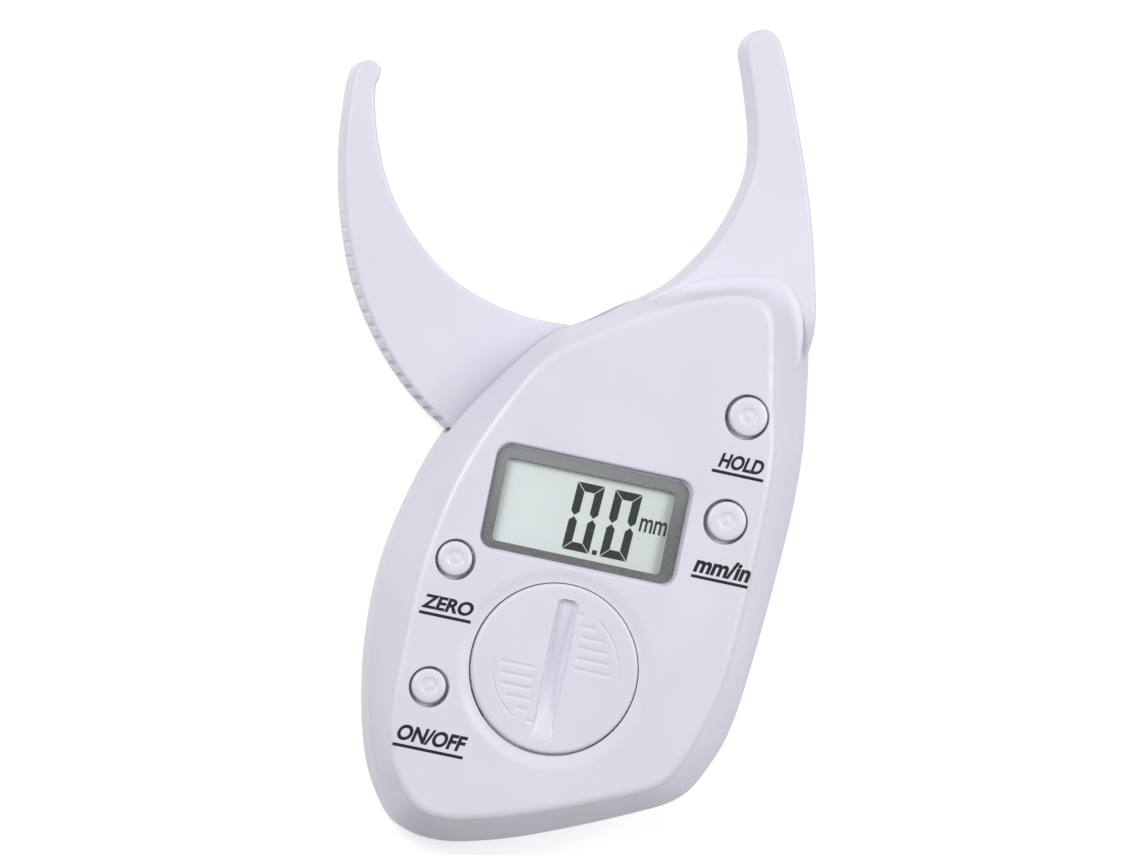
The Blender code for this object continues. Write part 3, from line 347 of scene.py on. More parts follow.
def evenly(path, gap):
    # Points the gap apart along a path, which keeps both its ends
    lengths = [0.0]
    for a, b in zip(path, path[1:]):
        lengths.append(lengths[-1] + (b - a).length)
    count = max(2, round(lengths[-1] / gap))
    result, span = [], 0
    for k in range(count + 1):
        wanted = lengths[-1] * k / count
        while span < len(path) - 2 and lengths[span + 1] < wanted:
            span += 1
        share = (wanted - lengths[span]) / (lengths[span + 1] - lengths[span])
        result.append(path[span].lerp(path[span + 1], share))
    return result


def roundedBox(middle, length, width, corner, steps=8):
    points = []
    for quarter, (sx, sy) in enumerate(((1, 1), (-1, 1), (-1, -1), (1, -1))):
        centre = Vector((middle.x + sx * (length / 2 - corner),
                         middle.y + sy * (width / 2 - corner), 0))
        for k in range(steps + 1):
            points.append(centre + corner * heading((quarter + k / steps) * math.pi / 2))
    return points


# Mesh toolkit
def meshObject(name, points, faces):
    mesh = bpy.data.meshes.new(name)
    mesh.from_pydata([tuple(p) for p in points], [], faces)
    made = bpy.data.objects.new(name, mesh)
    scene.collection.objects.link(made)
    return tidied(made)


def tidied(made, gap=0.00002 * mm):
    work = bmesh.new()
    work.from_mesh(made.data)
    bmesh.ops.remove_doubles(work, verts=work.verts, dist=gap)
    bmesh.ops.recalc_face_normals(work, faces=work.faces)
    work.to_mesh(made.data)
    work.free()
    return made


def lofted(name, rings):
    count = len(rings[0])
    points = [p for ring in rings for p in ring]
    faces = []
    for r in range(len(rings) - 1):
        low, high = r * count, (r + 1) * count
        for i in range(count):
            j = (i + 1) % count
            faces.append((low + i, low + j, high + j, high + i))
    faces.append(tuple(range(count)))
    faces.append(tuple(range(len(points) - count, len(points))))
    return meshObject(name, points, faces)


def turned(name, profile, middle=(0, 0), sides=64):
    # A closed profile of (radius, height) pairs, or one that starts and ends on the axis
    points, faces = [], []
    for radius, height in profile:
        for k in range(sides):
            point = radius * heading(math.tau * k / sides)
            points.append((middle[0] + point.x, middle[1] + point.y, height))
    count = len(profile)
    ringed = profile[0][0] > 0
    for r in range(count if ringed else count - 1):
        low, high = r * sides, (r + 1) % count * sides
        for k in range(sides):
            j = (k + 1) % sides
            faces.append((low + k, low + j, high + j, high + k))
    return meshObject(name, points, faces)


def boxed(name, low, high):
    xs, ys, zs = zip(low, high)
    points = [(x, y, z) for x in xs for y in ys for z in zs]
    faces = [(0, 1, 3, 2), (4, 6, 7, 5), (0, 4, 5, 1), (2, 3, 7, 6), (0, 2, 6, 4), (1, 5, 7, 3)]
    return meshObject(name, points, faces)


def post(name, middle, radius, bottom, top, sides=40, bottomEdge=0.0, topEdge=0.0):
    # A plain column; an edge above zero flares it at that end, so as a cutter it rounds a rim
    profile = [(0, bottom)]
    steps = 5
    if bottomEdge:
        profile.append((radius + bottomEdge, bottom))
        for k in range(steps + 1):
            angle = math.pi / 2 * k / steps
            profile.append((radius + bottomEdge * (1 - math.sin(angle)),
                            bottom + bottomEdge * (1 - math.cos(angle)) + 0.5 * mm))
    else:
        profile.append((radius, bottom))
    if topEdge:
        for k in range(steps + 1):
            angle = math.pi / 2 * k / steps
            profile.append((radius + topEdge * (1 - math.cos(angle)),
                            top - 0.5 * mm - topEdge * (1 - math.sin(angle))))
        profile.append((radius + topEdge, top))
    else:
        profile.append((radius, top))
    profile.append((0, top))
    return turned(name, profile, middle, sides)


def removed(made):
    data = made.data
    bpy.data.objects.remove(made, do_unlink=True)
    if isinstance(data, bpy.types.Mesh):
        bpy.data.meshes.remove(data)


def fused(name, pieces):
    # Several loose bodies as one mesh
    points, faces = [], []
    for piece in pieces:
        start = len(points)
        points += [piece.matrix_world @ v.co for v in piece.data.vertices]
        faces += [tuple(start + i for i in f.vertices) for f in piece.data.polygons]
        removed(piece)
    return meshObject(name, points, faces)


def baked(made):
    # The evaluated shape as a plain mesh, without modifiers
    bpy.context.view_layer.update()
    evaluated = made.evaluated_get(bpy.context.evaluated_depsgraph_get())
    mesh = bpy.data.meshes.new_from_object(evaluated)
    made.modifiers.clear()
    old = made.data
    made.data = mesh
    bpy.data.meshes.remove(old)
    return made


def combined(made, tools, operation="DIFFERENCE"):
    for tool in tools:
        step = made.modifiers.new("shape", "BOOLEAN")
        step.operation = operation
        step.solver = "EXACT"
        step.object = tool
        baked(made)
        tidied(made, 0.0002 * mm)
        removed(tool)
    return made


def finished(made, body, finish, nodes=(), angle=32, weighted=True):
    # Smooth shading with true normals on the flats, one material, and its place in the model
    made.data.materials.clear()
    made.data.materials.append(finishes[finish])
    for face in made.data.polygons:
        face.material_index = 0
    made.data.shade_smooth()
    made.data.set_sharp_from_angle(angle=math.radians(angle))
    if weighted:
        step = made.modifiers.new("flats", "WEIGHTED_NORMAL")
        step.weight = 100
        step.keep_sharp = True
        baked(made)
    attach(made, body)
    if nodes:
        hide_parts(*nodes)
    return made


# Case: one outline at the seam, one at the raised face, clockwise from the upper right corner.
# x is a share of the case's reach to that side of the pivot, y of its reach above or below it.
case = {
    "left": 25.5 * mm, "right": 33.45 * mm, "up": 23.66 * mm, "down": 67.77 * mm,
    "rim": armHigh.z + 0.4 * mm, "parting": armHigh.z + 0.1 * mm,
    "wall": 1.8 * mm, "floor": 2.0 * mm, "shoulder": 0.8 * mm, "shoulderReach": 1.25 * mm,
    "flankBow": 0.311, "flankTop": 0.94, "coveRadius": 1.5 * mm, "coveReach": 3.2 * mm,
    "seamEdge": 0.2 * mm, "faceEdge": 0.4 * mm, "steps": 12,
    "outline": (
        (0.753, 1.000, 0.603, 0.818), (0.830, 0.961, 0.665, 0.771), (0.881, 0.837, 0.698, 0.694),
        (0.924, 0.628, 0.718, 0.570), (0.970, 0.248, 0.764, 0.252), (0.998, -0.031, 0.819, -0.038),
        (1.000, -0.193, 0.831, -0.200), (0.957, -0.518, 0.807, -0.525), (0.918, -0.651, 0.748, -0.658),
        (0.851, -0.739, 0.684, -0.740), (0.782, -0.794, 0.624, -0.785), (0.668, -0.835, 0.523, -0.816),
        (0.135, -0.950, 0.066, -0.907), (-0.223, -0.995, -0.295, -0.949), (-0.437, -1.000, -0.479, -0.953),
        (-0.584, -0.982, -0.598, -0.936), (-0.698, -0.934, -0.695, -0.898), (-0.802, -0.861, -0.774, -0.852),
        (-0.896, -0.754, -0.828, -0.754), (-0.970, -0.606, -0.835, -0.613), (-0.976, -0.429, -0.823, -0.436),
        (-0.894, -0.267, -0.751, -0.267), (-0.757, -0.119, -0.646, -0.141), (-0.423, 0.205, -0.430, 0.085),
        (-0.277, 0.376, -0.295, 0.256), (-0.063, 0.512, -0.095, 0.411), (0.135, 0.698, 0.142, 0.601),
        (0.424, 0.876, 0.459, 0.802),
    ),
    "rearProfile": ((0.0, 0.62), (0.32, 0.40), (1.20, 0.20), (3.0, 0.08), (8.6, 0.0)),
}


def casePoint(shareX, shareY):
    return pivot.xy.to_3d() + Vector((shareX * (case["right"] if shareX > 0 else case["left"]),
                                      shareY * (case["up"] if shareY > 0 else case["down"]), 0))


def caseOutline(blend, distance=0.0, steps=None):
    corners = [casePoint(*row[:2]).lerp(casePoint(*row[2:]), blend) for row in case["outline"]]
    points = throughPoints(corners, steps or case["steps"])
    return pulledIn(points, distance) if distance else points


def caseRing(height, blend, distance=0.0, steps=None):
    return lifted(caseOutline(blend, distance, steps), height)


# Jaws: degrees from the jaw's own tip direction, then a share of its reach from the pivot
jaws = {
    "reach": 57.0 * mm, "fixedAngle": math.radians(77.8), "swing": 2 * math.asin(54.5 / 114.0),
    "top": armHigh.z + 0.7 * mm, "thickness": 6.6 * mm, "edge": 0.75 * mm, "armEdge": 0.7 * mm,
    "lowerEdge": 0.5 * mm, "rootMargin": 0.3 * mm,
    "fixedInner": ((-3.3, 0.282), (-6.6, 0.320), (-11.6, 0.371), (-14.1, 0.438), (-15.1, 0.557),
                   (-13.8, 0.665), (-11.9, 0.744), (-9.0, 0.815), (-5.4, 0.889), (-2.5, 0.954),
                   (-0.4, 1.010), (-0.6, 1.052)),
    "fixedOuter": ((-1.6, 1.076), (-3.5, 1.078), (-5.4, 1.052), (-9.2, 0.983), (-14.3, 0.902),
                   (-20.1, 0.831), (-27.2, 0.760), (-38.5, 0.671), (-44.8, 0.640), (-51.5, 0.609),
                   (-57.8, 0.570), (-62.0, 0.520)),
    "movingInner": ((-27.0, 0.192), (-18.0, 0.206), (-9.0, 0.223), (-3.0, 0.242), (3.5, 0.273),
                    (11.0, 0.344), (14.7, 0.434), (15.3, 0.514), (14.2, 0.603),
                    (12.0, 0.703), (9.1, 0.794), (6.2, 0.870), (3.7, 0.933), (1.5, 0.982),
                    (0.0, 1.000), (-0.7, 1.019)),
    "movingOuter": ((0.0, 1.047), (1.7, 1.055), (3.9, 1.030), (6.1, 0.995), (10.4, 0.929),
                    (16.2, 0.846), (22.6, 0.763), (30.5, 0.674), (39.7, 0.577), (49.9, 0.487),
                    (60.6, 0.411), (68.0, 0.366)),
    "hub": 10.8 * mm, "heelSweep": math.radians(56), "heelMargin": 0.7 * mm, "hubLead": math.radians(33),
    "pocket": 5.2 * mm, "pocketDepth": 3.6 * mm, "groove": (8.2 * mm, 0.7 * mm),
    "slotClearance": math.radians(1.6), "slotLead": math.radians(3),
    "cornerFree": 0.6 * mm, "cornerFade": 2.2 * mm, "rise": 2.4 * mm, "riseReach": 13.0 * mm,
    "riseFade": 10.0 * mm, "sideSteps": 72,
}
openAngle = jaws["fixedAngle"] + jaws["swing"]
heelStart = openAngle + math.radians(jaws["movingOuter"][-1][0])


def jawEdge(rows, tipAngle, steps=8):
    points = [pivot.xy.to_3d() + share * jaws["reach"] * heading(tipAngle + math.radians(degrees))
              for degrees, share in rows]
    return throughPoints(points, steps, closed=False)


def smoothShare(value):
    value = max(0.0, min(1.0, value))
    return value * value * (3 - 2 * value)


def clearOf(corners, outline):
    # A share for each point that falls to nothing at the sharp corners, where an inset would cross
    shares = []
    for point in outline:
        nearest = min((point - corner).length for corner in corners)
        shares.append(smoothShare((nearest - jaws["cornerFree"]) / jaws["cornerFade"]))
    return shares


def barRings(outline, bottom, top, edge, lowerEdge, corners):
    # A flat bar with round edges above and below
    shares = clearOf(corners, outline)
    steps = 6
    rings = []
    for k in range(steps + 1):
        angle = math.pi / 2 * k / steps
        rings.append(lifted(pulledIn(outline, [lowerEdge * (1 - math.sin(angle)) * s for s in shares]),
                            bottom + lowerEdge * (1 - math.cos(angle))))
    for k in range(steps + 1):
        angle = math.pi / 2 * k / steps
        rings.append(lifted(pulledIn(outline, [edge * (1 - math.cos(angle)) * s for s in shares]),
                            top - edge * (1 - math.sin(angle))))
    return rings


def pairedSides(path, split, count):
    # The two sides of a path about its split, each with as many points as the other
    sides = []
    for part in (path[:split + 1], path[split:]):
        sides.append(evenly(part, sum((b - a).length for a, b in zip(part, part[1:])) / count))
    return sides[0] + sides[1][1:]


fixedPath = jawEdge(jaws["fixedInner"] + jaws["fixedOuter"], jaws["fixedAngle"])
fixedOutline = pairedSides(fixedPath, len(jaws["fixedInner"]) * 8 - 4, jaws["sideSteps"])


def depthIn(point, outline):
    # How deep the point lies inside the outline, below zero outside it
    inside, nearest = False, math.inf
    for a, b in zip(outline, outline[1:] + outline[:1]):
        if (a.y > point.y) != (b.y > point.y):
            if point.x < a.x + (point.y - a.y) / (b.y - a.y) * (b.x - a.x):
                inside = not inside
        along = b - a
        share = max(0.0, min(1.0, (point - a).dot(along) / max(along.length_squared, 1e-12)))
        nearest = min(nearest, (point - a - share * along).length)
    return nearest if inside else -nearest


def fixedJawBar():
    # The bar's top climbs towards the case, and is ruled from one side to the other
    seam = caseOutline(0.0, 0.0, 4)
    rises = [jaws["rise"] * smoothShare(1 + depthIn(p, seam) / jaws["riseReach"])
             * smoothShare((p.y - pivot.y) / jaws["riseFade"] - 1) for p in fixedOutline]
    rings = barRings(fixedOutline, jaws["top"] - jaws["thickness"], jaws["top"], jaws["edge"],
                     jaws["lowerEdge"], (fixedOutline[0], fixedOutline[-1]))
    for ring in rings[len(rings) // 2:]:
        for point, rise in zip(ring, rises):
            point.z += rise
    count = len(fixedOutline)
    points = [p for ring in rings for p in ring]
    faces = [(r * count + i, r * count + (i + 1) % count, (r + 1) * count + (i + 1) % count,
              (r + 1) * count + i) for r in range(len(rings) - 1) for i in range(count)]
    faces.append(tuple(range(count)))
    first = len(points) - count
    for i in range(count // 2):
        pair = [i, i + 1, count - 2 - i, count - 1 - i]
        faces.append(tuple(first + k for k in dict.fromkeys(pair)))
    return meshObject("fixedJawBar", points, faces)


# Front shell
holes = {
    "buttonGap": 0.5 * mm, "flange": 0.7 * mm, "rimEdge": 0.22 * mm,
    "dishReach": 2.3 * mm, "dishDepth": 0.34 * mm, "coverGap": 0.22 * mm, "play": (-0.09 * mm, -0.11 * mm),
    "lensGap": 0.2 * mm, "lensEdge": 0.45 * mm, "lensCorner": 2.0 * mm, "border": 0.9 * mm,
    "potRadius": 14.0 * mm, "potSides": 77, "pivotBoss": 3.6 * mm, "screwBoss": 2.6 * mm,
    "boardBoss": 2.0 * mm, "rearPivotBoss": 3.2 * mm, "screwBore": 1.15 * mm, "boardBore": 0.85 * mm,
    "pivotBore": 2.05 * mm, "headRadius": 2.3 * mm, "headChamfer": 0.25 * mm, "headSeat": 1.5 * mm,
    "coverDepth": 1.6 * mm, "throatRadius": 11.5 * mm, "chamberRadius": 12.8 * mm,
    "chamberTop": 2.8 * mm, "chamberFloor": 4.2 * mm, "cellRadius": 10.3 * mm,
    "notchInner": 10.4 * mm, "notchOuter": 12.5 * mm, "notchHalf": 2.3 * mm, "notchFloor": 3.3 * mm,
    "notchTop": 1.1 * mm, "notchTurn": math.radians(35),
}
buttons = {}
for buttonName, largeCap in (("hold_button", True), ("unit_button", True),
                             ("zero_button", False), ("power_button", False)):
    buttons[buttonName] = (middleOf(buttonName), 2.85 * mm if largeCap else 2.5 * mm)
coverRadius = 12.5 * mm


def frontShell():
    rim, flankEnd = case["rim"], faceHeight - case["shoulder"]
    rings = []
    steps = 3
    for k in range(steps + 1):
        angle = math.pi / 2 * k / steps
        rings.append(caseRing(rim + case["seamEdge"] * (1 - math.cos(angle)), 0.0,
                              case["seamEdge"] * (1 - math.sin(angle)) + 1e-6))

    def flankBlend(height):
        share = (height - rim) / (flankEnd - rim)
        return share * (case["flankTop"] + case["flankBow"]) - share ** 2 * case["flankBow"]

    depths = [depthIn(p, fixedOutline) for p in caseOutline(0.3)]
    shares = [smoothShare(d / case["coveReach"]) for d in depths]
    top = jaws["top"] + jaws["rise"]
    for k in range(1, 5):
        height = rim + (top - 0.04 * mm - rim) * k / 4
        rings.append(caseRing(height, flankBlend(height)))
    coveSteps = 6
    for k in range(coveSteps + 1):
        angle = math.pi / 2 * k / coveSteps
        height = top + case["coveRadius"] * (1 - math.cos(angle)) + 0.001 * mm
        spread = [-case["coveRadius"] * (1 - math.sin(angle)) * share for share in shares]
        rings.append(lifted(pulledIn(caseOutline(flankBlend(height)), spread), height))
    start = top + case["coveRadius"]
    for k in range(1, 9):
        height = start + (flankEnd - start) * k / 8
        rings.append(caseRing(height, flankBlend(height)))
    for k in range(1, 11):
        angle = math.pi / 2 * k / 10
        rings.append(caseRing(flankEnd + case["shoulder"] * math.sin(angle),
                              case["flankTop"] + (1 - case["flankTop"]) * math.sin(angle),
                              case["shoulderReach"] * (1 - math.cos(angle))))
    rings.append(caseRing(faceHeight, 1.0, case["shoulderReach"] + case["faceEdge"]))
    shell = lofted("frontShell", rings)
    combined(shell, [fixedJawBar()], "UNION")
    print("front shell skin")

    # Hollow, with the jaw's root and the bosses left solid
    coarse = 3
    ceiling = panelHigh.z + 0.2 * mm
    hollow = lofted("frontHollow", [
        caseRing(rim - overrun, 0.0, case["wall"], coarse),
        caseRing(rim + 0.3 * mm, 0.0, case["wall"], coarse),
        caseRing(rim + (flankEnd - rim) * 0.45, 0.5, case["wall"], coarse),
        caseRing(ceiling, 0.8, case["wall"], coarse)])
    root = pulledIn(fixedOutline, -jaws["rootMargin"])
    combined(hollow, [lofted("rootBlock", [lifted(root, height) for height in
                                           (jaws["top"] - jaws["thickness"], rim + case["wall"])])])
    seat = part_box("coin_cell")[0].z - 0.7 * mm
    bosses = [post("pot", coverMiddle, holes["potRadius"], seat, ceiling + 0.9 * mm, holes["potSides"]),
              post("pivotBoss", pivot, holes["pivotBoss"], seat, ceiling + 0.5 * mm)]
    bosses += [post("boss", middleOf(name), holes["screwBoss"], rim, ceiling + 0.5 * mm)
               for name in screwNames]
    bosses += [post("boss", middleOf(name), holes["boardBoss"], seat, ceiling + 0.5 * mm)
               for name in boardScrewNames]
    combined(hollow, [fused("bosses", bosses)])
    combined(shell, [hollow])
    print("front shell hollow")

    # Dish, recess and chamber for the battery cover, as one turned cutter
    dishTop = faceHeight + 0.004 * mm
    recess = coverRadius + holes["coverGap"]
    dish = [(0, faceHeight + overrun), (recess + holes["dishReach"], faceHeight + overrun)]
    for k in range(13):
        share = k / 12
        depth = holes["dishDepth"] * smoothShare(share) - (dishTop - faceHeight) * (1 - share)
        dish.append((recess + holes["dishReach"] * (1 - share), faceHeight - depth))
    throat, chamber, cell = holes["throatRadius"], holes["chamberRadius"], holes["cellRadius"]
    ledge, roof, base = [faceHeight - holes[k] for k in ("coverDepth", "chamberTop", "chamberFloor")]
    dish += [(recess, ledge), (throat, ledge), (throat, roof), (chamber, roof), (chamber, base),
             (cell, base), (cell, seat - overrun), (0, seat - overrun)]
    combined(shell, [turned("coverRecess", dish, coverMiddle.xy + Vector(holes["play"]), 144)])
    notches = []
    for side in (0, 1):
        notch = boxed("notch", (holes["notchInner"], -holes["notchHalf"], faceHeight - holes["notchFloor"]),
                      (holes["notchOuter"], holes["notchHalf"], faceHeight - holes["notchTop"]))
        notch.matrix_world = (Matrix.Translation(coverMiddle.xy.to_3d())
                              @ Matrix.Rotation(holes["notchTurn"] + math.pi * side, 4, "Z"))
        bpy.context.view_layer.update()
        notches.append(notch)
    combined(shell, [fused("notches", notches)])

    # Lens recess with a rounded rim, and the window under it
    length, width = lensSpan.x + 2 * holes["lensGap"], lensSpan.y + 2 * holes["lensGap"]
    corner = holes["lensCorner"] + holes["lensGap"]
    border = holes["border"] + holes["lensGap"]
    recessFloor = lensLow.z - 0.2 * mm
    rings = []
    for height in (ceiling - overrun, recessFloor):
        rings.append(lifted(roundedBox(lensSpot, length - 2 * border, width - 2 * border,
                                       corner - border / 2), height))
    rings.append(lifted(roundedBox(lensSpot, length, width, corner), recessFloor))
    for k in range(7):
        angle = math.pi / 2 * k / 6
        out = holes["lensEdge"] * (1 - math.cos(angle))
        rings.append(lifted(roundedBox(lensSpot, length + 2 * out, width + 2 * out, corner + out),
                            faceHeight - holes["lensEdge"] * (1 - math.sin(angle)) + 0.004 * mm))
    rings.append(lifted(roundedBox(lensSpot, length + 2 * out, width + 2 * out, corner + out),
                        faceHeight + overrun))
    combined(shell, [lofted("lensRecess", rings)])
    cutters = []
    for name, (middle, radius) in buttons.items():
        cutters.append(post(name + "Hole", middle, radius + holes["buttonGap"], ceiling - overrun,
                            faceHeight + 0.5 * mm + 0.004 * mm, 64, 0.0, holes["rimEdge"]))
    for name in screwNames:
        middle = middleOf(name)
        cutters.append(post("bore", middle, holes["screwBore"], rim - overrun,
                            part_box(name)[1].z + 0.2 * mm, 24))
    for name in boardScrewNames:
        middle = middleOf(name)
        cutters.append(post("bore", middle, holes["boardBore"], seat - overrun,
                            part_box(name)[1].z + 0.2 * mm, 24))
    cutters.append(post("pivotBore", pivot, holes["pivotBore"], seat - overrun,
                        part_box("pivot_axle")[1].z + 0.2 * mm))
    combined(shell, [fused("frontCutters", cutters)])
    print("front shell:", len(shell.data.polygons), "faces")
    return finished(shell, "case", "casePlastic", ["front_shell"])


def rearShell():
    parting = case["parting"]
    profile = [Vector((share * 10 * mm, height * mm, 0)) for height, share in case["rearProfile"]]
    rings = [caseRing(p.y, p.x / (10 * mm)) for p in throughPoints(profile, 4, closed=False)]
    steps = 3
    for k in range(1, steps + 1):
        angle = math.pi / 2 * k / steps
        rings.append(caseRing(parting - case["seamEdge"] * (1 - math.sin(angle)), 0.0,
                              case["seamEdge"] * (1 - math.cos(angle))))
    back = caseRing(0.0, case["rearProfile"][0][1], case["faceEdge"])
    shell = lofted("rearShell", [back] + rings)
    coarse = 3
    combined(shell, [lofted("rearHollow", [
        caseRing(case["floor"], 0.24, case["wall"], coarse),
        caseRing(1.5 * case["floor"], 0.08, case["wall"], coarse),
        caseRing(parting + overrun, 0.0, case["wall"], coarse)])])
    start, end = jaws["fixedAngle"] - jaws["slotLead"], heelStart + jaws["slotClearance"]
    angles = [start + (end - start) * k / 24 for k in range(25)]
    base = pivot.xy.to_3d()
    slot = [base + 49 * mm * heading(a) for a in angles]
    slot += [base + 5.4 * mm * heading(a) for a in reversed(angles)]
    combined(shell, [lofted("armSlot", [lifted(slot, armLow.z - 0.4 * mm),
                                        lifted(slot, parting + overrun)])])
    outer = jawEdge(jaws["fixedOuter"], jaws["fixedAngle"])
    seat = jawEdge(jaws["fixedInner"], jaws["fixedAngle"])
    seat += [base + (p - base) * 1.3 for p in outer] + [outer[-1]]
    seat = pulledIn(seat, -jaws["rootMargin"])
    low = jaws["top"] - jaws["thickness"] - jaws["rootMargin"]
    combined(shell, [lofted("jawSeat", [lifted(seat, low), lifted(seat, parting + overrun)])])
    low = case["floor"] / 2
    bosses = [post("boss", middleOf(name), holes["screwBoss"], low, parting) for name in screwNames]
    bosses.append(post("pivotBoss", pivot, holes["rearPivotBoss"], low, armLow.z + 2.9 * mm))
    combined(shell, [fused("rearBosses", bosses)], "UNION")
    cutters = []
    for name in screwNames:
        middle, low = middleOf(name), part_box(name)[0].z
        wide, bore, chamfer = holes["headRadius"], holes["screwBore"], holes["headChamfer"]
        ledge = low + holes["headSeat"]
        head = turned("head", [(0, -overrun), (wide + chamfer, -overrun), (wide + chamfer, 0.0),
                               (wide, chamfer), (wide, ledge), (bore, ledge),
                               (bore, parting + overrun), (0, parting + overrun)], middle, 48)
        cutters.append(head)
    cutters.append(post("pivotBore", pivot, holes["pivotBore"], 0.95 * mm, armLow.z + 4 * mm))
    combined(shell, [fused("rearCutters", cutters)])
    print("rear shell:", len(shell.data.polygons), "faces")
    return finished(shell, "case", "casePlastic", ["rear_shell"])


# Geometry Nodes toolkit
class Tree:
    def __init__(self, name, sizes, material):
        self.tree = bpy.data.node_groups.new(name, "GeometryNodeTree")
        face = self.tree.interface
        face.new_socket("Geometry", in_out="INPUT", socket_type="NodeSocketGeometry")
        face.new_socket("Geometry", in_out="OUTPUT", socket_type="NodeSocketGeometry")
        self.keys = {}
        for key, value in sizes.items():
            kind = {bool: "Bool", int: "Int", float: "Float"}.get(type(value), "Object")
            made = face.new_socket(key, in_out="INPUT", socket_type="NodeSocket" + kind)
            self.keys[key] = (made.identifier, value)
        self.source = self.tree.nodes.new("NodeGroupInput")
        self.material = material

    def given(self, key="Geometry"):
        return self.source.outputs[key]

    def add(self, kind, settings, values, output=0):
        node = self.tree.nodes.new(kind)
        for key, value in settings.items():
            setattr(node, key, value)
        for key, value in values.items():
            if isinstance(value, bpy.types.NodeSocket):
                self.tree.links.new(value, node.inputs[key])
            else:
                node.inputs[key].default_value = value
        return node.outputs[output]

    def maths(self, operation, first, second=0.0):
        return self.add("ShaderNodeMath", {"operation": operation}, {0: first, 1: second})

    def close(self, geometry):
        real = self.add("GeometryNodeRealizeInstances", {}, {"Geometry": geometry})
        dressed = self.add("GeometryNodeSetMaterial", {}, {"Geometry": real, "Material": self.material})
        end = self.tree.nodes.new("NodeGroupOutput")
        self.tree.links.new(dressed, end.inputs["Geometry"])

    def grown(self, made):
        step = made.modifiers.new("grown", "NODES")
        step.node_group = self.tree
        for identifier, value in self.keys.values():
            step[identifier] = value
        baked(made)
        return made


def pathObject(name, points):
    mesh = bpy.data.meshes.new(name)
    mesh.from_pydata([tuple(p) for p in points], [(i, i + 1) for i in range(len(points) - 1)], [])
    made = bpy.data.objects.new(name, mesh)
    scene.collection.objects.link(made)
    return made


# Moving jaw
serration = {
    "pitch": 2.1 * mm, "radius": 0.80 * mm, "depth": 0.46 * mm, "strip": 1.5 * mm,
    "first": 7.0 * mm, "last": 2.0 * mm, "fade": 0.35, "step": 0.5 * mm,
}


def edgeRadius(angle):
    outline = [p - pivot.xy.to_3d() for p in caseOutline(0.0, 0.0, 3)]
    ray, best = heading(angle), 0.0
    for a, b in zip(outline, outline[1:] + outline[:1]):
        sideA, sideB = ray.x * a.y - ray.y * a.x, ray.x * b.y - ray.y * b.x
        if sideA * sideB <= 0 and sideA != sideB:
            best = max(best, a.lerp(b, sideA / (sideA - sideB)).dot(ray))
    return best


def serrationCutter(edge):
    # A round-ended tool at each point along the thumb edge, smaller towards the tip
    tool = turned("serrationTool", [(0, 0), (0.35, 0.06), (0.71, 0.29), (0.92, 0.6), (1.0, 1.0),
                                    (1.0, 9.0), (0, 9.0)], (0, 0), 20)
    tree = Tree("thumbSerrations", {"Pitch": serration["pitch"], "Radius": serration["radius"],
                                    "Fade": serration["fade"], "Tool": tool}, finishes["jawPlastic"])
    path = tree.add("GeometryNodeMeshToCurve", {}, {"Mesh": tree.given()})
    spaced = tree.add("GeometryNodeResampleCurve", {"mode": "LENGTH"},
                      {"Curve": path, "Length": tree.given("Pitch")})
    along = tree.add("GeometryNodeSplineParameter", {}, {}, "Factor")
    gain = tree.maths("MULTIPLY", tree.maths("SUBTRACT", 1.0, tree.given("Fade")), along)
    size = tree.maths("MULTIPLY", tree.maths("ADD", gain, tree.given("Fade")), tree.given("Radius"))
    shape = tree.add("GeometryNodeObjectInfo", {}, {"Object": tree.given("Tool")}, "Geometry")
    placed = tree.add("GeometryNodeInstanceOnPoints", {}, {"Points": spaced, "Instance": shape,
                                                           "Scale": size})
    tree.close(placed)
    made = tree.grown(pathObject("serrations", edge))
    removed(tool)
    return tidied(made)


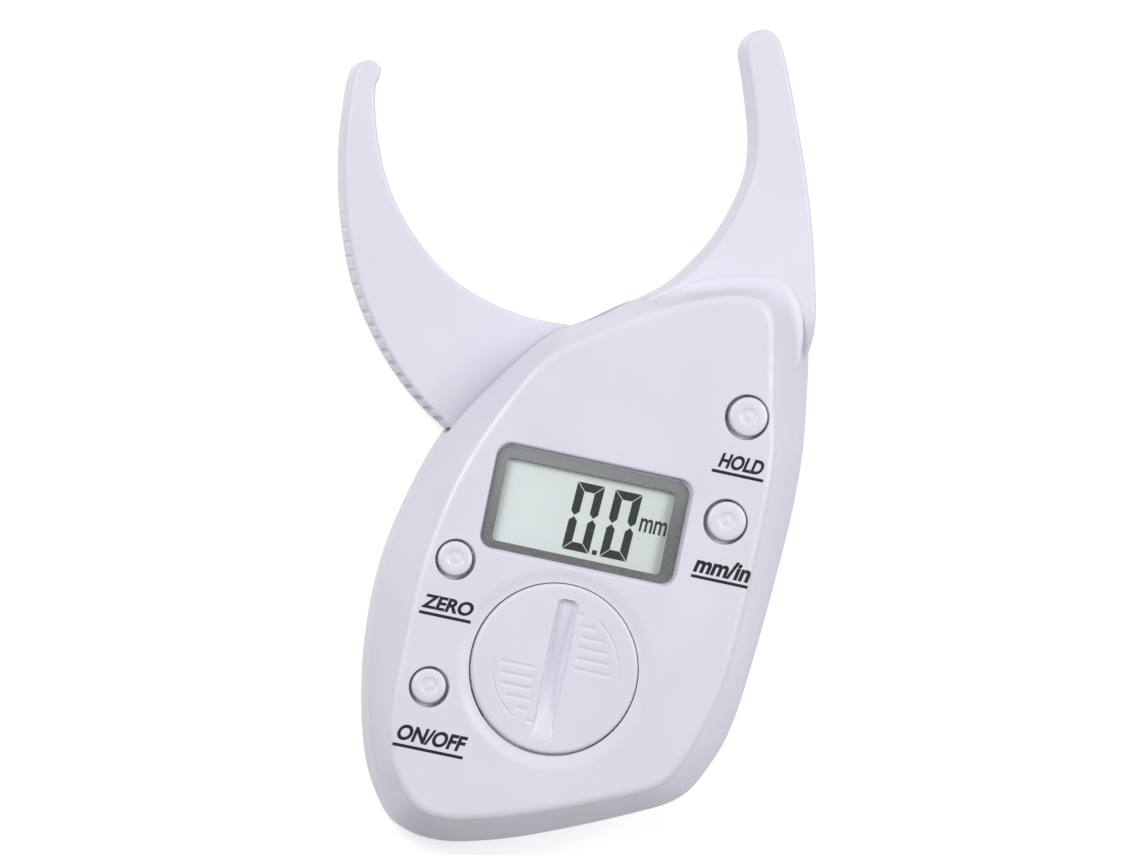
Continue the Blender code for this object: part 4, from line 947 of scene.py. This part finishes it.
def movingJaw():
    base = pivot.xy.to_3d()
    edge = jawEdge(jaws["movingInner"] + jaws["movingOuter"], openAngle)
    tip = len(jaws["movingInner"]) * 8
    inner = edge[:tip]
    outer = evenly(edge[tip:], serration["step"])
    limit = edgeRadius(heelStart + jaws["slotClearance"]) - 2 * case["wall"]
    heel = []
    for k in range(25):
        angle = heelStart + jaws["heelSweep"] * k / 24
        radius = min(edgeRadius(angle - jaws["swing"]) - jaws["heelMargin"], limit)
        heel.append(base + radius * heading(angle))
    hubStart = heelStart + jaws["heelSweep"]
    hubSweep = openAngle - jaws["hubLead"] + math.tau - hubStart
    hub = [base + jaws["hub"] * heading(hubStart + hubSweep * k / 40) for k in range(41)]
    outline = inner + outer + heel + hub
    corners = (inner[0], outer[-1], heel[0], heel[-1], hub[0], hub[-1])
    jaw = lofted("movingJaw", barRings(outline, armLow.z, armHigh.z, jaws["armEdge"], jaws["lowerEdge"],
                                      corners))
    first = round(serration["first"] / serration["step"])
    last = len(outer) - round(serration["last"] / serration["step"])
    start = len(inner)
    away = serration["radius"] - serration["depth"]
    line = pulledIn(outline, -away)[start + first:start + last]
    cutter = serrationCutter(lifted(line, armLow.z + serration["strip"]))
    combined(jaw, [cutter])
    wide, bore, roof = jaws["pocket"], holes["pivotBore"], armLow.z + jaws["pocketDepth"]
    pocket = turned("springPocket", [(0, armLow.z - overrun), (wide, armLow.z - overrun), (wide, roof),
                                     (bore, roof), (bore, armHigh.z + overrun),
                                     (0, armHigh.z + overrun)], pivot, 64)
    combined(jaw, [pocket])
    springEnd = spring["start"] + math.radians(90)
    reach, half = jaws["groove"]
    groove = boxed("springGroove", (0, -half, armLow.z + half), (reach, half, roof))
    groove.matrix_world = Matrix.Translation(base) @ Matrix.Rotation(springEnd, 4, "Z")
    bpy.context.view_layer.update()
    combined(jaw, [fused("springGroove", [groove])])
    print("moving jaw:", len(jaw.data.polygons), "faces")
    return finished(jaw, "jaw", "jawPlastic", ["moving_jaw"])


# Battery cover
cover = {
    "radius": coverRadius, "edge": 0.55 * mm, "slotWidth": 3.2 * mm, "slotDepth": 1.5 * mm,
    "slotRim": 0.3 * mm, "slotLow": -10.5 * mm, "slotHigh": 10.3 * mm, "slotMiddle": 1.4 * mm,
    "slotBow": 12.0 * mm, "slotEnd": 0.8 * mm, "gripPitch": 1.58 * mm, "gripCount": 6,
    "gripStart": 1.1 * mm, "gripReach": 8.3 * mm, "gripGroove": 0.85 * mm, "gripDepth": 0.13 * mm,
    "gripArc": 9.4 * mm, "discHeight": 1.2 * mm, "skirt": 11.2 * mm, "skirtInner": 10.4 * mm,
    "lug": (10.8 * mm, 12.2 * mm), "lugHalf": 2.0 * mm, "lugHeight": 0.8 * mm,
    "housing": (0.9 * mm, 10.1 * mm), "housingDepth": 2.2 * mm,
}


def batteryCover():
    top, under = coverHigh.z, coverHigh.z - cover["discHeight"]
    radius, edge = cover["radius"], cover["edge"]
    profile = [(0, top), (radius - edge - 0.3 * mm, top)]
    for k in range(7):
        angle = math.pi / 2 * k / 6
        profile.append((radius - edge * (1 - math.sin(angle)), top - edge * (1 - math.cos(angle))))
    skirt, inner = cover["skirt"], cover["skirtInner"]
    profile += [(radius, under), (skirt, under), (skirt, coverLow.z), (inner, coverLow.z),
                (inner, under - 0.2 * mm), (0, under - 0.2 * mm)]
    disc = turned("batteryCover", profile, coverMiddle, 144)
    base = coverMiddle.xy.to_3d()
    lugs = []
    for side in (-1, 1):
        ends = sorted(side * reach for reach in cover["lug"])
        lugs.append(boxed("lug", (base.x + ends[0], base.y - cover["lugHalf"], coverLow.z),
                          (base.x + ends[1], base.y + cover["lugHalf"], coverLow.z + cover["lugHeight"])))
    half, reach = cover["slotWidth"] / 2 + cover["housing"][0], cover["housing"][1]
    housing = boxed("housing", (base.x - half, base.y - reach, top - cover["housingDepth"]),
                    (base.x + half, base.y + reach, under + 0.6 * mm))
    combined(disc, [fused("lugs", lugs), housing], "UNION")

    # The slot takes a coin's edge: its floor is bowed along it, and its walls lean out
    half, rim = cover["slotWidth"] / 2, cover["slotRim"]
    rings = []
    steps = 48
    for k in range(steps + 1):
        share = k / steps
        y = cover["slotLow"] + (cover["slotHigh"] - cover["slotLow"]) * share
        depth = cover["slotDepth"] * (1 - ((y - cover["slotMiddle"]) / cover["slotBow"]) ** 2)
        closing = max(0.0, (y - cover["slotHigh"]) / cover["slotEnd"] + 1)
        wide = half * math.sqrt(1 - 0.75 * closing ** 2)
        depth *= math.sqrt(1 - 0.5 * closing ** 2)
        section = ((wide * 0.42, -depth), (wide * 0.72, -depth * 0.86), (wide * 0.88, -depth * 0.52),
                   (wide * 0.97, -rim * 0.5 * depth / cover["slotDepth"]), (wide + rim * 0.35, 0.004 * mm),
                   (wide + rim * 0.35, overrun))
        ring = [Vector((base.x + x, base.y + y, top + z)) for x, z in section]
        ring += [Vector((base.x - x, base.y + y, top + z)) for x, z in reversed(section)]
        rings.append(ring)
    combined(disc, [lofted("coinSlot", rings)])

    # Grip grooves on both sides, and the arc that closes each group
    section = ((-0.5, 0.04), (-0.34, -0.22), (-0.16, -0.85), (0.0, -1.0), (0.16, -0.85), (0.34, -0.22),
               (0.5, 0.04), (0.5, 2.0), (-0.5, 2.0))
    ends = ((0.0, 0.05), (0.03, 0.5), (0.08, 1.0), (0.92, 1.0), (0.97, 0.5), (1.0, 0.05))
    tool = lofted("grooveTool", [[Vector((x, y, z * full if z < 0 else z)) for y, z in section]
                                 for x, full in ends])
    tree = Tree("coverGrips", {"Count": cover["gripCount"], "Pitch": cover["gripPitch"],
                               "Start": cover["slotWidth"] / 2 + cover["gripStart"],
                               "Reach": cover["gripReach"], "Groove": cover["gripGroove"],
                               "Depth": cover["gripDepth"],
                               "Shift": 0.5 * mm, "Tool": tool}, finishes["coverPlastic"])
    line = tree.add("GeometryNodeMeshLine", {}, {"Count": tree.given("Count"), "Offset": (0, 0, 0)})
    index = tree.add("GeometryNodeInputIndex", {}, {})
    rise = tree.maths("ADD", tree.maths("MULTIPLY", index, tree.given("Pitch")), tree.given("Shift"))
    square = tree.maths("MULTIPLY", rise, rise)
    limit = tree.maths("MULTIPLY", tree.given("Reach"), tree.given("Reach"))
    far = tree.maths("SQRT", tree.maths("SUBTRACT", limit, square))
    length = tree.maths("SUBTRACT", far, tree.given("Start"))
    spot = tree.add("ShaderNodeCombineXYZ", {}, {0: tree.given("Start"), 1: rise})
    points = tree.add("GeometryNodeSetPosition", {}, {"Geometry": line, "Position": spot})
    size = tree.add("ShaderNodeCombineXYZ", {}, {0: length, 1: tree.given("Groove"),
                                                 2: tree.given("Depth")})
    shape = tree.add("GeometryNodeObjectInfo", {}, {"Object": tree.given("Tool")}, "Geometry")
    placed = tree.add("GeometryNodeInstanceOnPoints", {}, {"Points": points, "Instance": shape,
                                                           "Scale": size})
    tree.close(placed)
    groups = []
    for turn in (0, 1):
        group = tree.grown(pathObject("grips", [(0, 0, 0), (1 * mm, 0, 0)]))
        tidied(group)
        group.matrix_world = (Matrix.Translation((base.x, base.y, top))
                              @ Matrix.Rotation(math.pi * turn, 4, "Z"))
        groups.append(group)
        start = math.radians(-2 + 180 * turn)
        points = []
        for ring in range(5):
            out, up = ((-0.42, 0.3), (-0.2, -0.07), (0, -0.13), (0.2, -0.07), (0.42, 0.3))[ring]
            for k in range(25):
                angle = start + math.radians(66) * k / 24
                spread = min(1.0, k / 4, (24 - k) / 4)
                point = base + (cover["gripArc"] + out * mm) * heading(angle)
                points.append((point.x, point.y, top + (up if up > 0 else up * spread - 0.001) * mm))
        faces = [(r * 25 + k, r * 25 + k + 1, (r + 1) % 5 * 25 + k + 1, (r + 1) % 5 * 25 + k)
                 for r in range(5) for k in range(24)]
        faces += [tuple(r * 25 for r in range(5)), tuple(r * 25 + 24 for r in range(5))]
        groups.append(meshObject("gripArc", points, faces))
    bpy.context.view_layer.update()
    removed(tool)
    combined(disc, [fused("gripCutters", groups)])
    print("battery cover:", len(disc.data.polygons), "faces")
    return finished(disc, "cover", "coverPlastic", ["battery_cover"], 34)


# Push buttons
button = {
    "crown": 0.34 * mm, "ring": 1.2 * mm, "ringWidth": 0.2 * mm, "ringDepth": 0.13 * mm,
    "bump": 0.5 * mm, "bumpRise": 0.1 * mm, "play": 0.14 * mm,
}


def pushButtons():
    for name, (middle, radius) in buttons.items():
        low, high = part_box(name)
        top = high.z
        side = 1 if middle.x > lensMiddle.x else -1
        spot = middle.xy + Vector((side, 1)) * button["play"]
        profile = [(0, top - button["ringDepth"] + button["bumpRise"])]
        for k in range(1, 9):
            share = k / 8
            profile.append((button["bump"] * share * 1.5, top - button["ringDepth"]
                            + button["bumpRise"] * (1 - smoothShare(share))))
        inner, width = button["ring"] - button["ringWidth"], button["ringWidth"]
        for k in range(7):
            share = k / 6
            profile.append((inner + 2 * width * share, top - button["ringDepth"]
                            * (1 - smoothShare(share))))
        start = inner + 2 * width
        for k in range(1, 15):
            angle = math.pi / 2 * k / 14
            profile.append((start + (radius - start) * math.sin(angle),
                            top - button["crown"] * (1 - math.cos(angle)) ** 1.3))
        flangeTop = panelHigh.z
        profile += [(radius, flangeTop), (radius + holes["flange"], flangeTop),
                    (radius + holes["flange"], flangeTop - 0.7 * mm), (1.1 * mm, flangeTop - 0.7 * mm),
                    (1.1 * mm, low.z), (0, low.z)]
        cap = turned(name.split("_")[0] + "Cap", profile, spot, 72)
        finished(cap, name.replace("button", "key"), "capPlastic", [name], 34)
    print("push buttons: 4")


# Display: lens, its printed border, the panel and what it shows
display = {
    "edge": 0.2 * mm, "windowX": 12.8 * mm, "windowUp": 5.5 * mm, "windowDown": 6.85 * mm,
    "digitHeight": 10.1 * mm, "digitWidth": 4.1 * mm, "stroke": 1.25 * mm, "gap": 0.18 * mm,
    "slant": math.tan(math.radians(2.6)), "digitLefts": (-2.12 * mm, 3.65 * mm), "digitBase": -5.9 * mm,
    "ink": 0.03 * mm, "point": 0.7 * mm, "unitSize": (4.15 * mm, 2.05 * mm),
    "unitPlace": (10.7 * mm, -1.1 * mm),
}


def displayLens():
    length, width = lensSpan.x, lensSpan.y
    corner, edge = holes["lensCorner"], display["edge"]
    rings = []
    for k in range(5):
        angle = math.pi / 2 * k / 4
        inset = edge * (1 - math.sin(angle))
        rings.append(lifted(roundedBox(lensSpot, length - 2 * inset, width - 2 * inset,
                                       corner - inset), lensLow.z + edge * (1 - math.cos(angle))))
    for k in range(5):
        angle = math.pi / 2 * k / 4
        inset = edge * (1 - math.cos(angle))
        rings.append(lifted(roundedBox(lensSpot, length - 2 * inset, width - 2 * inset,
                                       corner - inset), lensHigh.z - edge * (1 - math.sin(angle))))
    lens = lofted("displayLens", rings)
    finished(lens, "case", "lens", ["display_lens"])

    # The border is printed on the lens from behind
    outer = roundedBox(lensSpot, length - 0.3 * mm, width - 0.3 * mm, corner - 0.15 * mm)
    middle = lensMiddle + Vector((0, (display["windowUp"] - display["windowDown"]) / 2, 0))
    inner = roundedBox(middle, 2 * display["windowX"], display["windowUp"] + display["windowDown"],
                       0.6 * mm)
    low, high = lensLow.z - 0.05 * mm, lensLow.z - 0.02 * mm
    count = len(outer)
    points = lifted(outer, low) + lifted(outer, high) + lifted(inner, high) + lifted(inner, low)
    faces = []
    for r in range(4):
        for i in range(count):
            j = (i + 1) % count
            faces.append((r * count + i, r * count + j, (r + 1) % 4 * count + j,
                          (r + 1) % 4 * count + i))
    border = meshObject("lensBorder", points, faces)
    finished(border, "case", "lensBorder")
    print("lens and border")


def digitZero(left):
    # Six mitred strokes round a slanted digit, as outlines
    w, h, s, g = display["digitWidth"], display["digitHeight"], display["stroke"], display["gap"] / 2
    m = h / 2
    strokes = (
        ((g, h), (w - g, h), (w - s - g, h - s), (s + g, h - s)),
        ((g, 0), (s + g, s), (w - s - g, s), (w - g, 0)),
        ((0, h - g), (s, h - s - g), (s, m + s / 2 + g), (s / 2, m + g), (0, m + s / 2 + g)),
        ((0, g), (0, m - s / 2 - g), (s / 2, m - g), (s, m - s / 2 - g), (s, s + g)),
        ((w, h - g), (w, m + s / 2 + g), (w - s / 2, m + g), (w - s, m + s / 2 + g), (w - s, h - s - g)),
        ((w, g), (w - s, s + g), (w - s, m - s / 2 - g), (w - s / 2, m - g), (w, m - s / 2 - g)),
    )
    return [[(left + x, y) for x, y in stroke] for stroke in strokes]


def displayPanel():
    # Two glass plates with the polariser above and the reflector below, as one stepped block
    plates = ((0.0, 0.0, 0.12), (0.0, 0.12, 0.9), (0.5, 0.9, 1.85), (0.7, 1.85, 2.0))
    rings = []
    size = panelHigh - panelLow
    for inset, low, high in plates:
        outline = roundedBox(lensMiddle, size.x - 2 * inset * mm, size.y - 2 * inset * mm, 0.15 * mm, 3)
        rings += [lifted(outline, panelLow.z + low * mm), lifted(outline, panelLow.z + high * mm)]
    finished(lofted("displayPanel", rings), "case", "crystal", ["display_panel"])

    shapes = [stroke for left in display["digitLefts"] for stroke in digitZero(left)]
    dot = display["point"]
    left = display["digitLefts"][1] - 1.2 * mm
    shapes.append([(left, 0), (left + dot, 0), (left + dot, dot), (left, dot)])
    points, faces = [], []
    low, high = panelHigh.z + 0.01 * mm, panelHigh.z + 0.01 * mm + display["ink"]
    for shape in shapes:
        if areaOf([Vector((x, y, 0)) for x, y in shape]) < 0:
            shape = shape[::-1]
        start, count = len(points), len(shape)
        for height in (low, high):
            for x, y in shape:
                points.append((lensMiddle.x + x + y * display["slant"],
                               lensMiddle.y + display["digitBase"] + y, height))
        faces.append(tuple(start + i for i in reversed(range(count))))
        faces.append(tuple(start + count + i for i in range(count)))
        for i in range(count):
            j = (i + 1) % count
            faces.append((start + i, start + j, start + count + j, start + count + i))
    digits = meshObject("displayDigits", points, faces)
    finished(digits, "case", "segmentInk", (), 32, False)
    shift = display["unitPlace"]
    place = Vector((lensMiddle.x + shift[0], lensMiddle.y + shift[1], low))
    unit = lettering("displayUnit", "mm", place, display["unitSize"], display["slant"], 0.012, display["ink"])
    finished(unit, "case", "segmentInk", (), 32, False)
    print("display panel and digits")


# Lettering: words fitted into a width and a height, with their base line's middle on the place
def lettering(name, words, place, size, slant, weight, thickness):
    curve = bpy.data.curves.new(name, "FONT")
    curve.body = words
    curve.offset = weight
    curve.extrude = 1.0
    curve.resolution_u = 4
    source = bpy.data.objects.new(name + "Text", curve)
    scene.collection.objects.link(source)
    bpy.context.view_layer.update()
    evaluated = source.evaluated_get(bpy.context.evaluated_depsgraph_get())
    mesh = bpy.data.meshes.new_from_object(evaluated)
    bpy.data.objects.remove(source, do_unlink=True)
    bpy.data.curves.remove(curve)
    lows = [min(v.co[i] for v in mesh.vertices) for i in range(2)]
    highs = [max(v.co[i] for v in mesh.vertices) for i in range(2)]
    lean = slant * size[1]
    for vertex in mesh.vertices:
        x = (vertex.co.x - lows[0]) / (highs[0] - lows[0]) - 0.5
        y = (vertex.co.y - lows[1]) / (highs[1] - lows[1])
        vertex.co = place + Vector((x * (size[0] - lean) + (y - 0.5) * lean, y * size[1],
                                    thickness if vertex.co.z > 0 else 0.0))
    made = bpy.data.objects.new(name, mesh)
    scene.collection.objects.link(made)
    return tidied(made, 0.0005 * mm)


# Each row: words, its button, the words' shift from it, their width and height, then the line's
# shift and length
labels = {
    "slant": 0.22, "weight": 0.036, "ink": 0.02 * mm, "line": 0.46 * mm,
    "rows": (
        ("holdLabel", "HOLD", "hold_button", (0.65, -8.01), (7.1, 2.25), (0.3, -8.66), 7.9),
        ("unitLabel", "mm/in", "unit_button", (1.1, -8.16), (9.0, 2.7), (0.85, -8.75), 8.7),
        ("zeroLabel", "ZERO", "zero_button", (0.3, -7.83), (8.05, 2.15), (0.12, -8.52), 7.83),
        ("powerLabel", "ON/OFF", "power_button", (1.85, -8.4), (10.75, 2.4), (1.67, -9.16), 10.65),
    ),
}


def faceLabels():
    for name, words, owner, shift, size, lineShift, lineLength in labels["rows"]:
        middle = buttons[owner][0]
        height = faceHeight + 0.005 * mm
        place = Vector((middle.x + shift[0] * mm, middle.y + shift[1] * mm, height))
        text = lettering(name, words, place, (size[0] * mm, size[1] * mm), labels["slant"],
                         labels["weight"], labels["ink"])
        spot = Vector((middle.x + lineShift[0] * mm, middle.y + lineShift[1] * mm, 0))
        outline = roundedBox(spot, lineLength * mm, labels["line"], 0.1 * mm, 3)
        line = lofted(name + "Line", [lifted(outline, height), lifted(outline, height + labels["ink"])])
        finished(fused(name, [text, line]), "case", "labelInk", (), 32, False)
    print("labels:", len(labels["rows"]))


# Case screws in the back: one tree turns out the head, the thread and the cross recess
screw = {"head": 2.1 * mm, "headHeight": 1.3 * mm, "shank": 1.1 * mm, "core": 0.8 * mm,
         "pitch": 0.9 * mm}


def caseScrews():
    low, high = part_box(screwNames[0])
    length = high.z - low.z
    head, rise = screw["head"], screw["headHeight"]
    profile = [(0, 0.02 * mm)]
    for k in range(1, 9):
        angle = math.radians(80) * k / 8
        profile.append((head * math.sin(angle) / math.sin(math.radians(80)),
                        rise * 0.62 * (1 - math.cos(angle))))
    profile += [(head, rise), (screw["core"], rise)]
    turnsCount = int((length - rise - 1.4 * mm) / screw["pitch"])
    for k in range(turnsCount):
        z = rise + 0.4 * mm + k * screw["pitch"]
        profile += [(screw["core"], z), (screw["shank"], z + 0.28 * mm), (screw["shank"], z + 0.34 * mm),
                    (screw["core"], z + 0.62 * mm)]
    profile += [(screw["core"], length - 0.7 * mm), (0.25 * mm, length - 0.02 * mm), (0, length - 0.02 * mm)]
    model = turned("screwModel", profile, (0, 0), 40)
    arms = []
    for turn in (0, 1):
        reach, half = 1.15 * mm, 0.3 * mm
        if turn:
            reach, half = half, reach
        arms.append(boxed("arm", (-reach, -half, -overrun), (reach, half, 0.75 * mm)))
    combined(model, arms)
    tree = Tree("caseScrews", {"Screw": model}, finishes["zinc"])
    shape = tree.add("GeometryNodeObjectInfo", {}, {"Object": tree.given("Screw")}, "Geometry")
    index = tree.add("GeometryNodeInputIndex", {}, {})
    turnAngle = tree.maths("MULTIPLY", index, 0.71)
    turnVector = tree.add("ShaderNodeCombineXYZ", {}, {2: turnAngle})
    placed = tree.add("GeometryNodeInstanceOnPoints", {}, {"Points": tree.given(), "Instance": shape,
                                                           "Rotation": turnVector})
    tree.close(placed)
    spots = [Vector((middleOf(name).x, middleOf(name).y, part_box(name)[0].z)) for name in screwNames]
    made = tree.grown(pathObject("caseScrews", spots))
    removed(model)
    finished(tidied(made), "case", "zinc", screwNames, 34)
    print("case screws:", len(spots))


# Return spring: wire round a helix with a straight leg at each end
spring = {"wire": 0.35 * mm, "radius": 4.1 * mm, "pitch": 1.15 * mm, "turns": 2.25, "leg": 3.4 * mm,
          "start": math.radians(-60)}


def returnSpring():
    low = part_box("return_spring")[0].z + spring["wire"]
    count = 96
    base = pivot.xy.to_3d()
    points = []
    for k in range(count + 1):
        turn = spring["turns"] * k / count
        point = base + spring["radius"] * heading(spring["start"] + math.tau * turn)
        point.z = low + spring["pitch"] * turn
        points.append(point)
    last = spring["start"] + math.tau * spring["turns"]
    points.insert(0, points[0] + spring["leg"] * heading(spring["start"]))
    points.append(points[-1] + spring["leg"] * heading(last))
    tree = Tree("springWire", {"Wire": spring["wire"], "Sides": 10}, finishes["spring"])
    path = tree.add("GeometryNodeMeshToCurve", {}, {"Mesh": tree.given()})
    section = tree.add("GeometryNodeCurvePrimitiveCircle", {}, {"Resolution": tree.given("Sides"),
                                                                "Radius": tree.given("Wire")})
    wire = tree.add("GeometryNodeCurveToMesh", {}, {"Curve": path, "Profile Curve": section,
                                                    "Fill Caps": True})
    tree.close(wire)
    made = tree.grown(pathObject("returnSpring", points))
    finished(tidied(made), "case", "spring", ["return_spring"], 40, False)
    print("return spring")


# CAD nodes that stay get their own finish
carried = {
    "holder": ["display_holder"], "rubber": ["contact_strip_lower", "contact_strip_upper"],
    "board": ["main_board"], "resin": ["display_driver", "hold_switch", "unit_switch", "zero_switch",
                                       "power_switch"],
    "copper": ["negative_contact", "positive_contact", "travel_scale_plate"],
    "spring": ["pivot_clip"], "nylon": ["pivot_washer"],
    "zinc": ["timing_crystal", "coin_cell", "pivot_axle"] + boardScrewNames,
}


def dressCarried():
    for finish, names in carried.items():
        for name in names:
            node = cadNodes[name]
            if not node.material_slots:
                node.data.materials.append(finishes[finish])
            for place in node.material_slots:
                place.material = finishes[finish]
    print("carried nodes dressed")


# Floor, light and camera
stageSizes = {"floor": 4.0, "floorColour": (0.64, 0.64, 0.645), "lift": 0.6, "world": 0.24}


def floorAndWorld():
    half = stageSizes["floor"] / 2
    floor = meshObject("floor", [(-half, -half, -0.0002), (half, -half, -0.0002), (half, half, -0.0002),
                                 (-half, half, -0.0002)], [(0, 1, 2, 3)])
    finish = Finish("floor_paper", stageSizes["floorColour"], 0.9, Specular_IOR_Level=0.1)
    tree = finish.tree
    seen = finish.add("ShaderNodeLightPath", {}, {}, "Is Camera Ray")
    mirrored = finish.add("ShaderNodeLightPath", {}, {}, "Is Glossy Ray")
    through = finish.add("ShaderNodeLightPath", {}, {}, "Is Transmission Ray")
    glow = finish.add("ShaderNodeEmission", {}, {"Color": (1, 1, 1, 1),
                                                 "Strength": seen.larger(mirrored).larger(through)
                                                 * stageSizes["lift"]})
    both = finish.add("ShaderNodeAddShader", {}, {0: Wire(finish, finish.shader.outputs[0]), 1: glow})
    tree.links.new(both.socket, finish.output.inputs["Surface"])
    floor.data.materials.append(finish.material)
    world = bpy.data.worlds.new("studio")
    world.use_nodes = True
    tree = world.node_tree
    back = tree.nodes["Background"]
    back.inputs["Color"].default_value = (1.0, 1.0, 1.0, 1.0)
    path = tree.nodes.new("ShaderNodeLightPath")
    strength = tree.nodes.new("ShaderNodeMapRange")
    strength.inputs["To Min"].default_value = stageSizes["world"]
    strength.inputs["To Max"].default_value = 1.0
    seen = path.outputs["Is Camera Ray"]
    for kind in ("Is Glossy Ray", "Is Transmission Ray"):
        most = tree.nodes.new("ShaderNodeMath")
        most.operation = "MAXIMUM"
        tree.links.new(seen, most.inputs[0])
        tree.links.new(path.outputs[kind], most.inputs[1])
        seen = most.outputs[0]
    tree.links.new(seen, strength.inputs["Value"])
    tree.links.new(strength.outputs["Result"], back.inputs["Strength"])
    scene.world = world
    print("floor and world")


lamps = {
    "leftLamp": ((-0.56, 0.24, 0.60), 0.45, 4.6, (1.0, 0.995, 0.985)),
    "rightLamp": ((0.58, 0.24, 0.58), 0.45, 4.0, (0.99, 0.995, 1.0)),
}


def addLamps():
    for name, (spot, size, power, colour) in lamps.items():
        light = bpy.data.lights.new(name, "AREA")
        light.shape = "SQUARE"
        light.size = size
        light.energy = power
        light.color = colour
        lamp = bpy.data.objects.new(name, light)
        scene.collection.objects.link(lamp)
        lamp.location = spot
        lamp.rotation_mode = "QUATERNION"
        lamp.rotation_quaternion = (-Vector(spot)).to_track_quat("-Z", "Y")


# The photograph shows 6.8 pixels to the millimetre on a face that lies level with the camera's
# image, turned clockwise by the roll, from a little to the left and below.
view = {
    "pixels": 6.8, "frameWidth": 1140, "frameHeight": 855, "middle": (577.0, 434.0),
    "roll": math.radians(11.7), "leanX": -0.20, "leanY": -0.05, "distance": 1.25,
    "level": 13.0 * mm, "faceShift": (2.92 * mm, -0.95 * mm),
}


def addCamera():
    towards = Vector((view["leanX"], view["leanY"], 1.0)).normalized()
    upright = Vector((0, 1, 0))
    right = upright.cross(towards).normalized()
    up = towards.cross(right)
    roll = view["roll"]
    turnedRight = math.cos(roll) * right + math.sin(roll) * up
    turnedUp = towards.cross(turnedRight)
    offX = (view["frameWidth"] / 2 - view["middle"][0]) / view["pixels"] * mm
    offY = (view["middle"][1] - view["frameHeight"] / 2) / view["pixels"] * mm
    anchor = Vector((view["faceShift"][0], view["faceShift"][1], faceHeight))
    aim = anchor + offX * turnedRight + offY * turnedUp
    aim += towards * ((view["level"] - aim.z) / towards.z)
    data = bpy.data.cameras.new("camera")
    data.sensor_width = 36.0
    width = view["frameWidth"] / view["pixels"] * mm
    data.lens = data.sensor_width * view["distance"] / width
    data.clip_start = 0.01
    camera = bpy.data.objects.new("camera", data)
    scene.collection.objects.link(camera)
    basis = Matrix((turnedRight, turnedUp, towards)).transposed()
    camera.rotation_mode = "QUATERNION"
    camera.rotation_quaternion = basis.to_quaternion()
    camera.location = aim + towards * view["distance"]
    scene.camera = camera
    scene.view_settings.view_transform = "Standard"
    print("camera and lamps")


addCamera()
addLamps()
floorAndWorld()
frontShell()
rearShell()
movingJaw()
batteryCover()
pushButtons()
displayLens()
displayPanel()
faceLabels()
caseScrews()
returnSpring()
dressCarried()
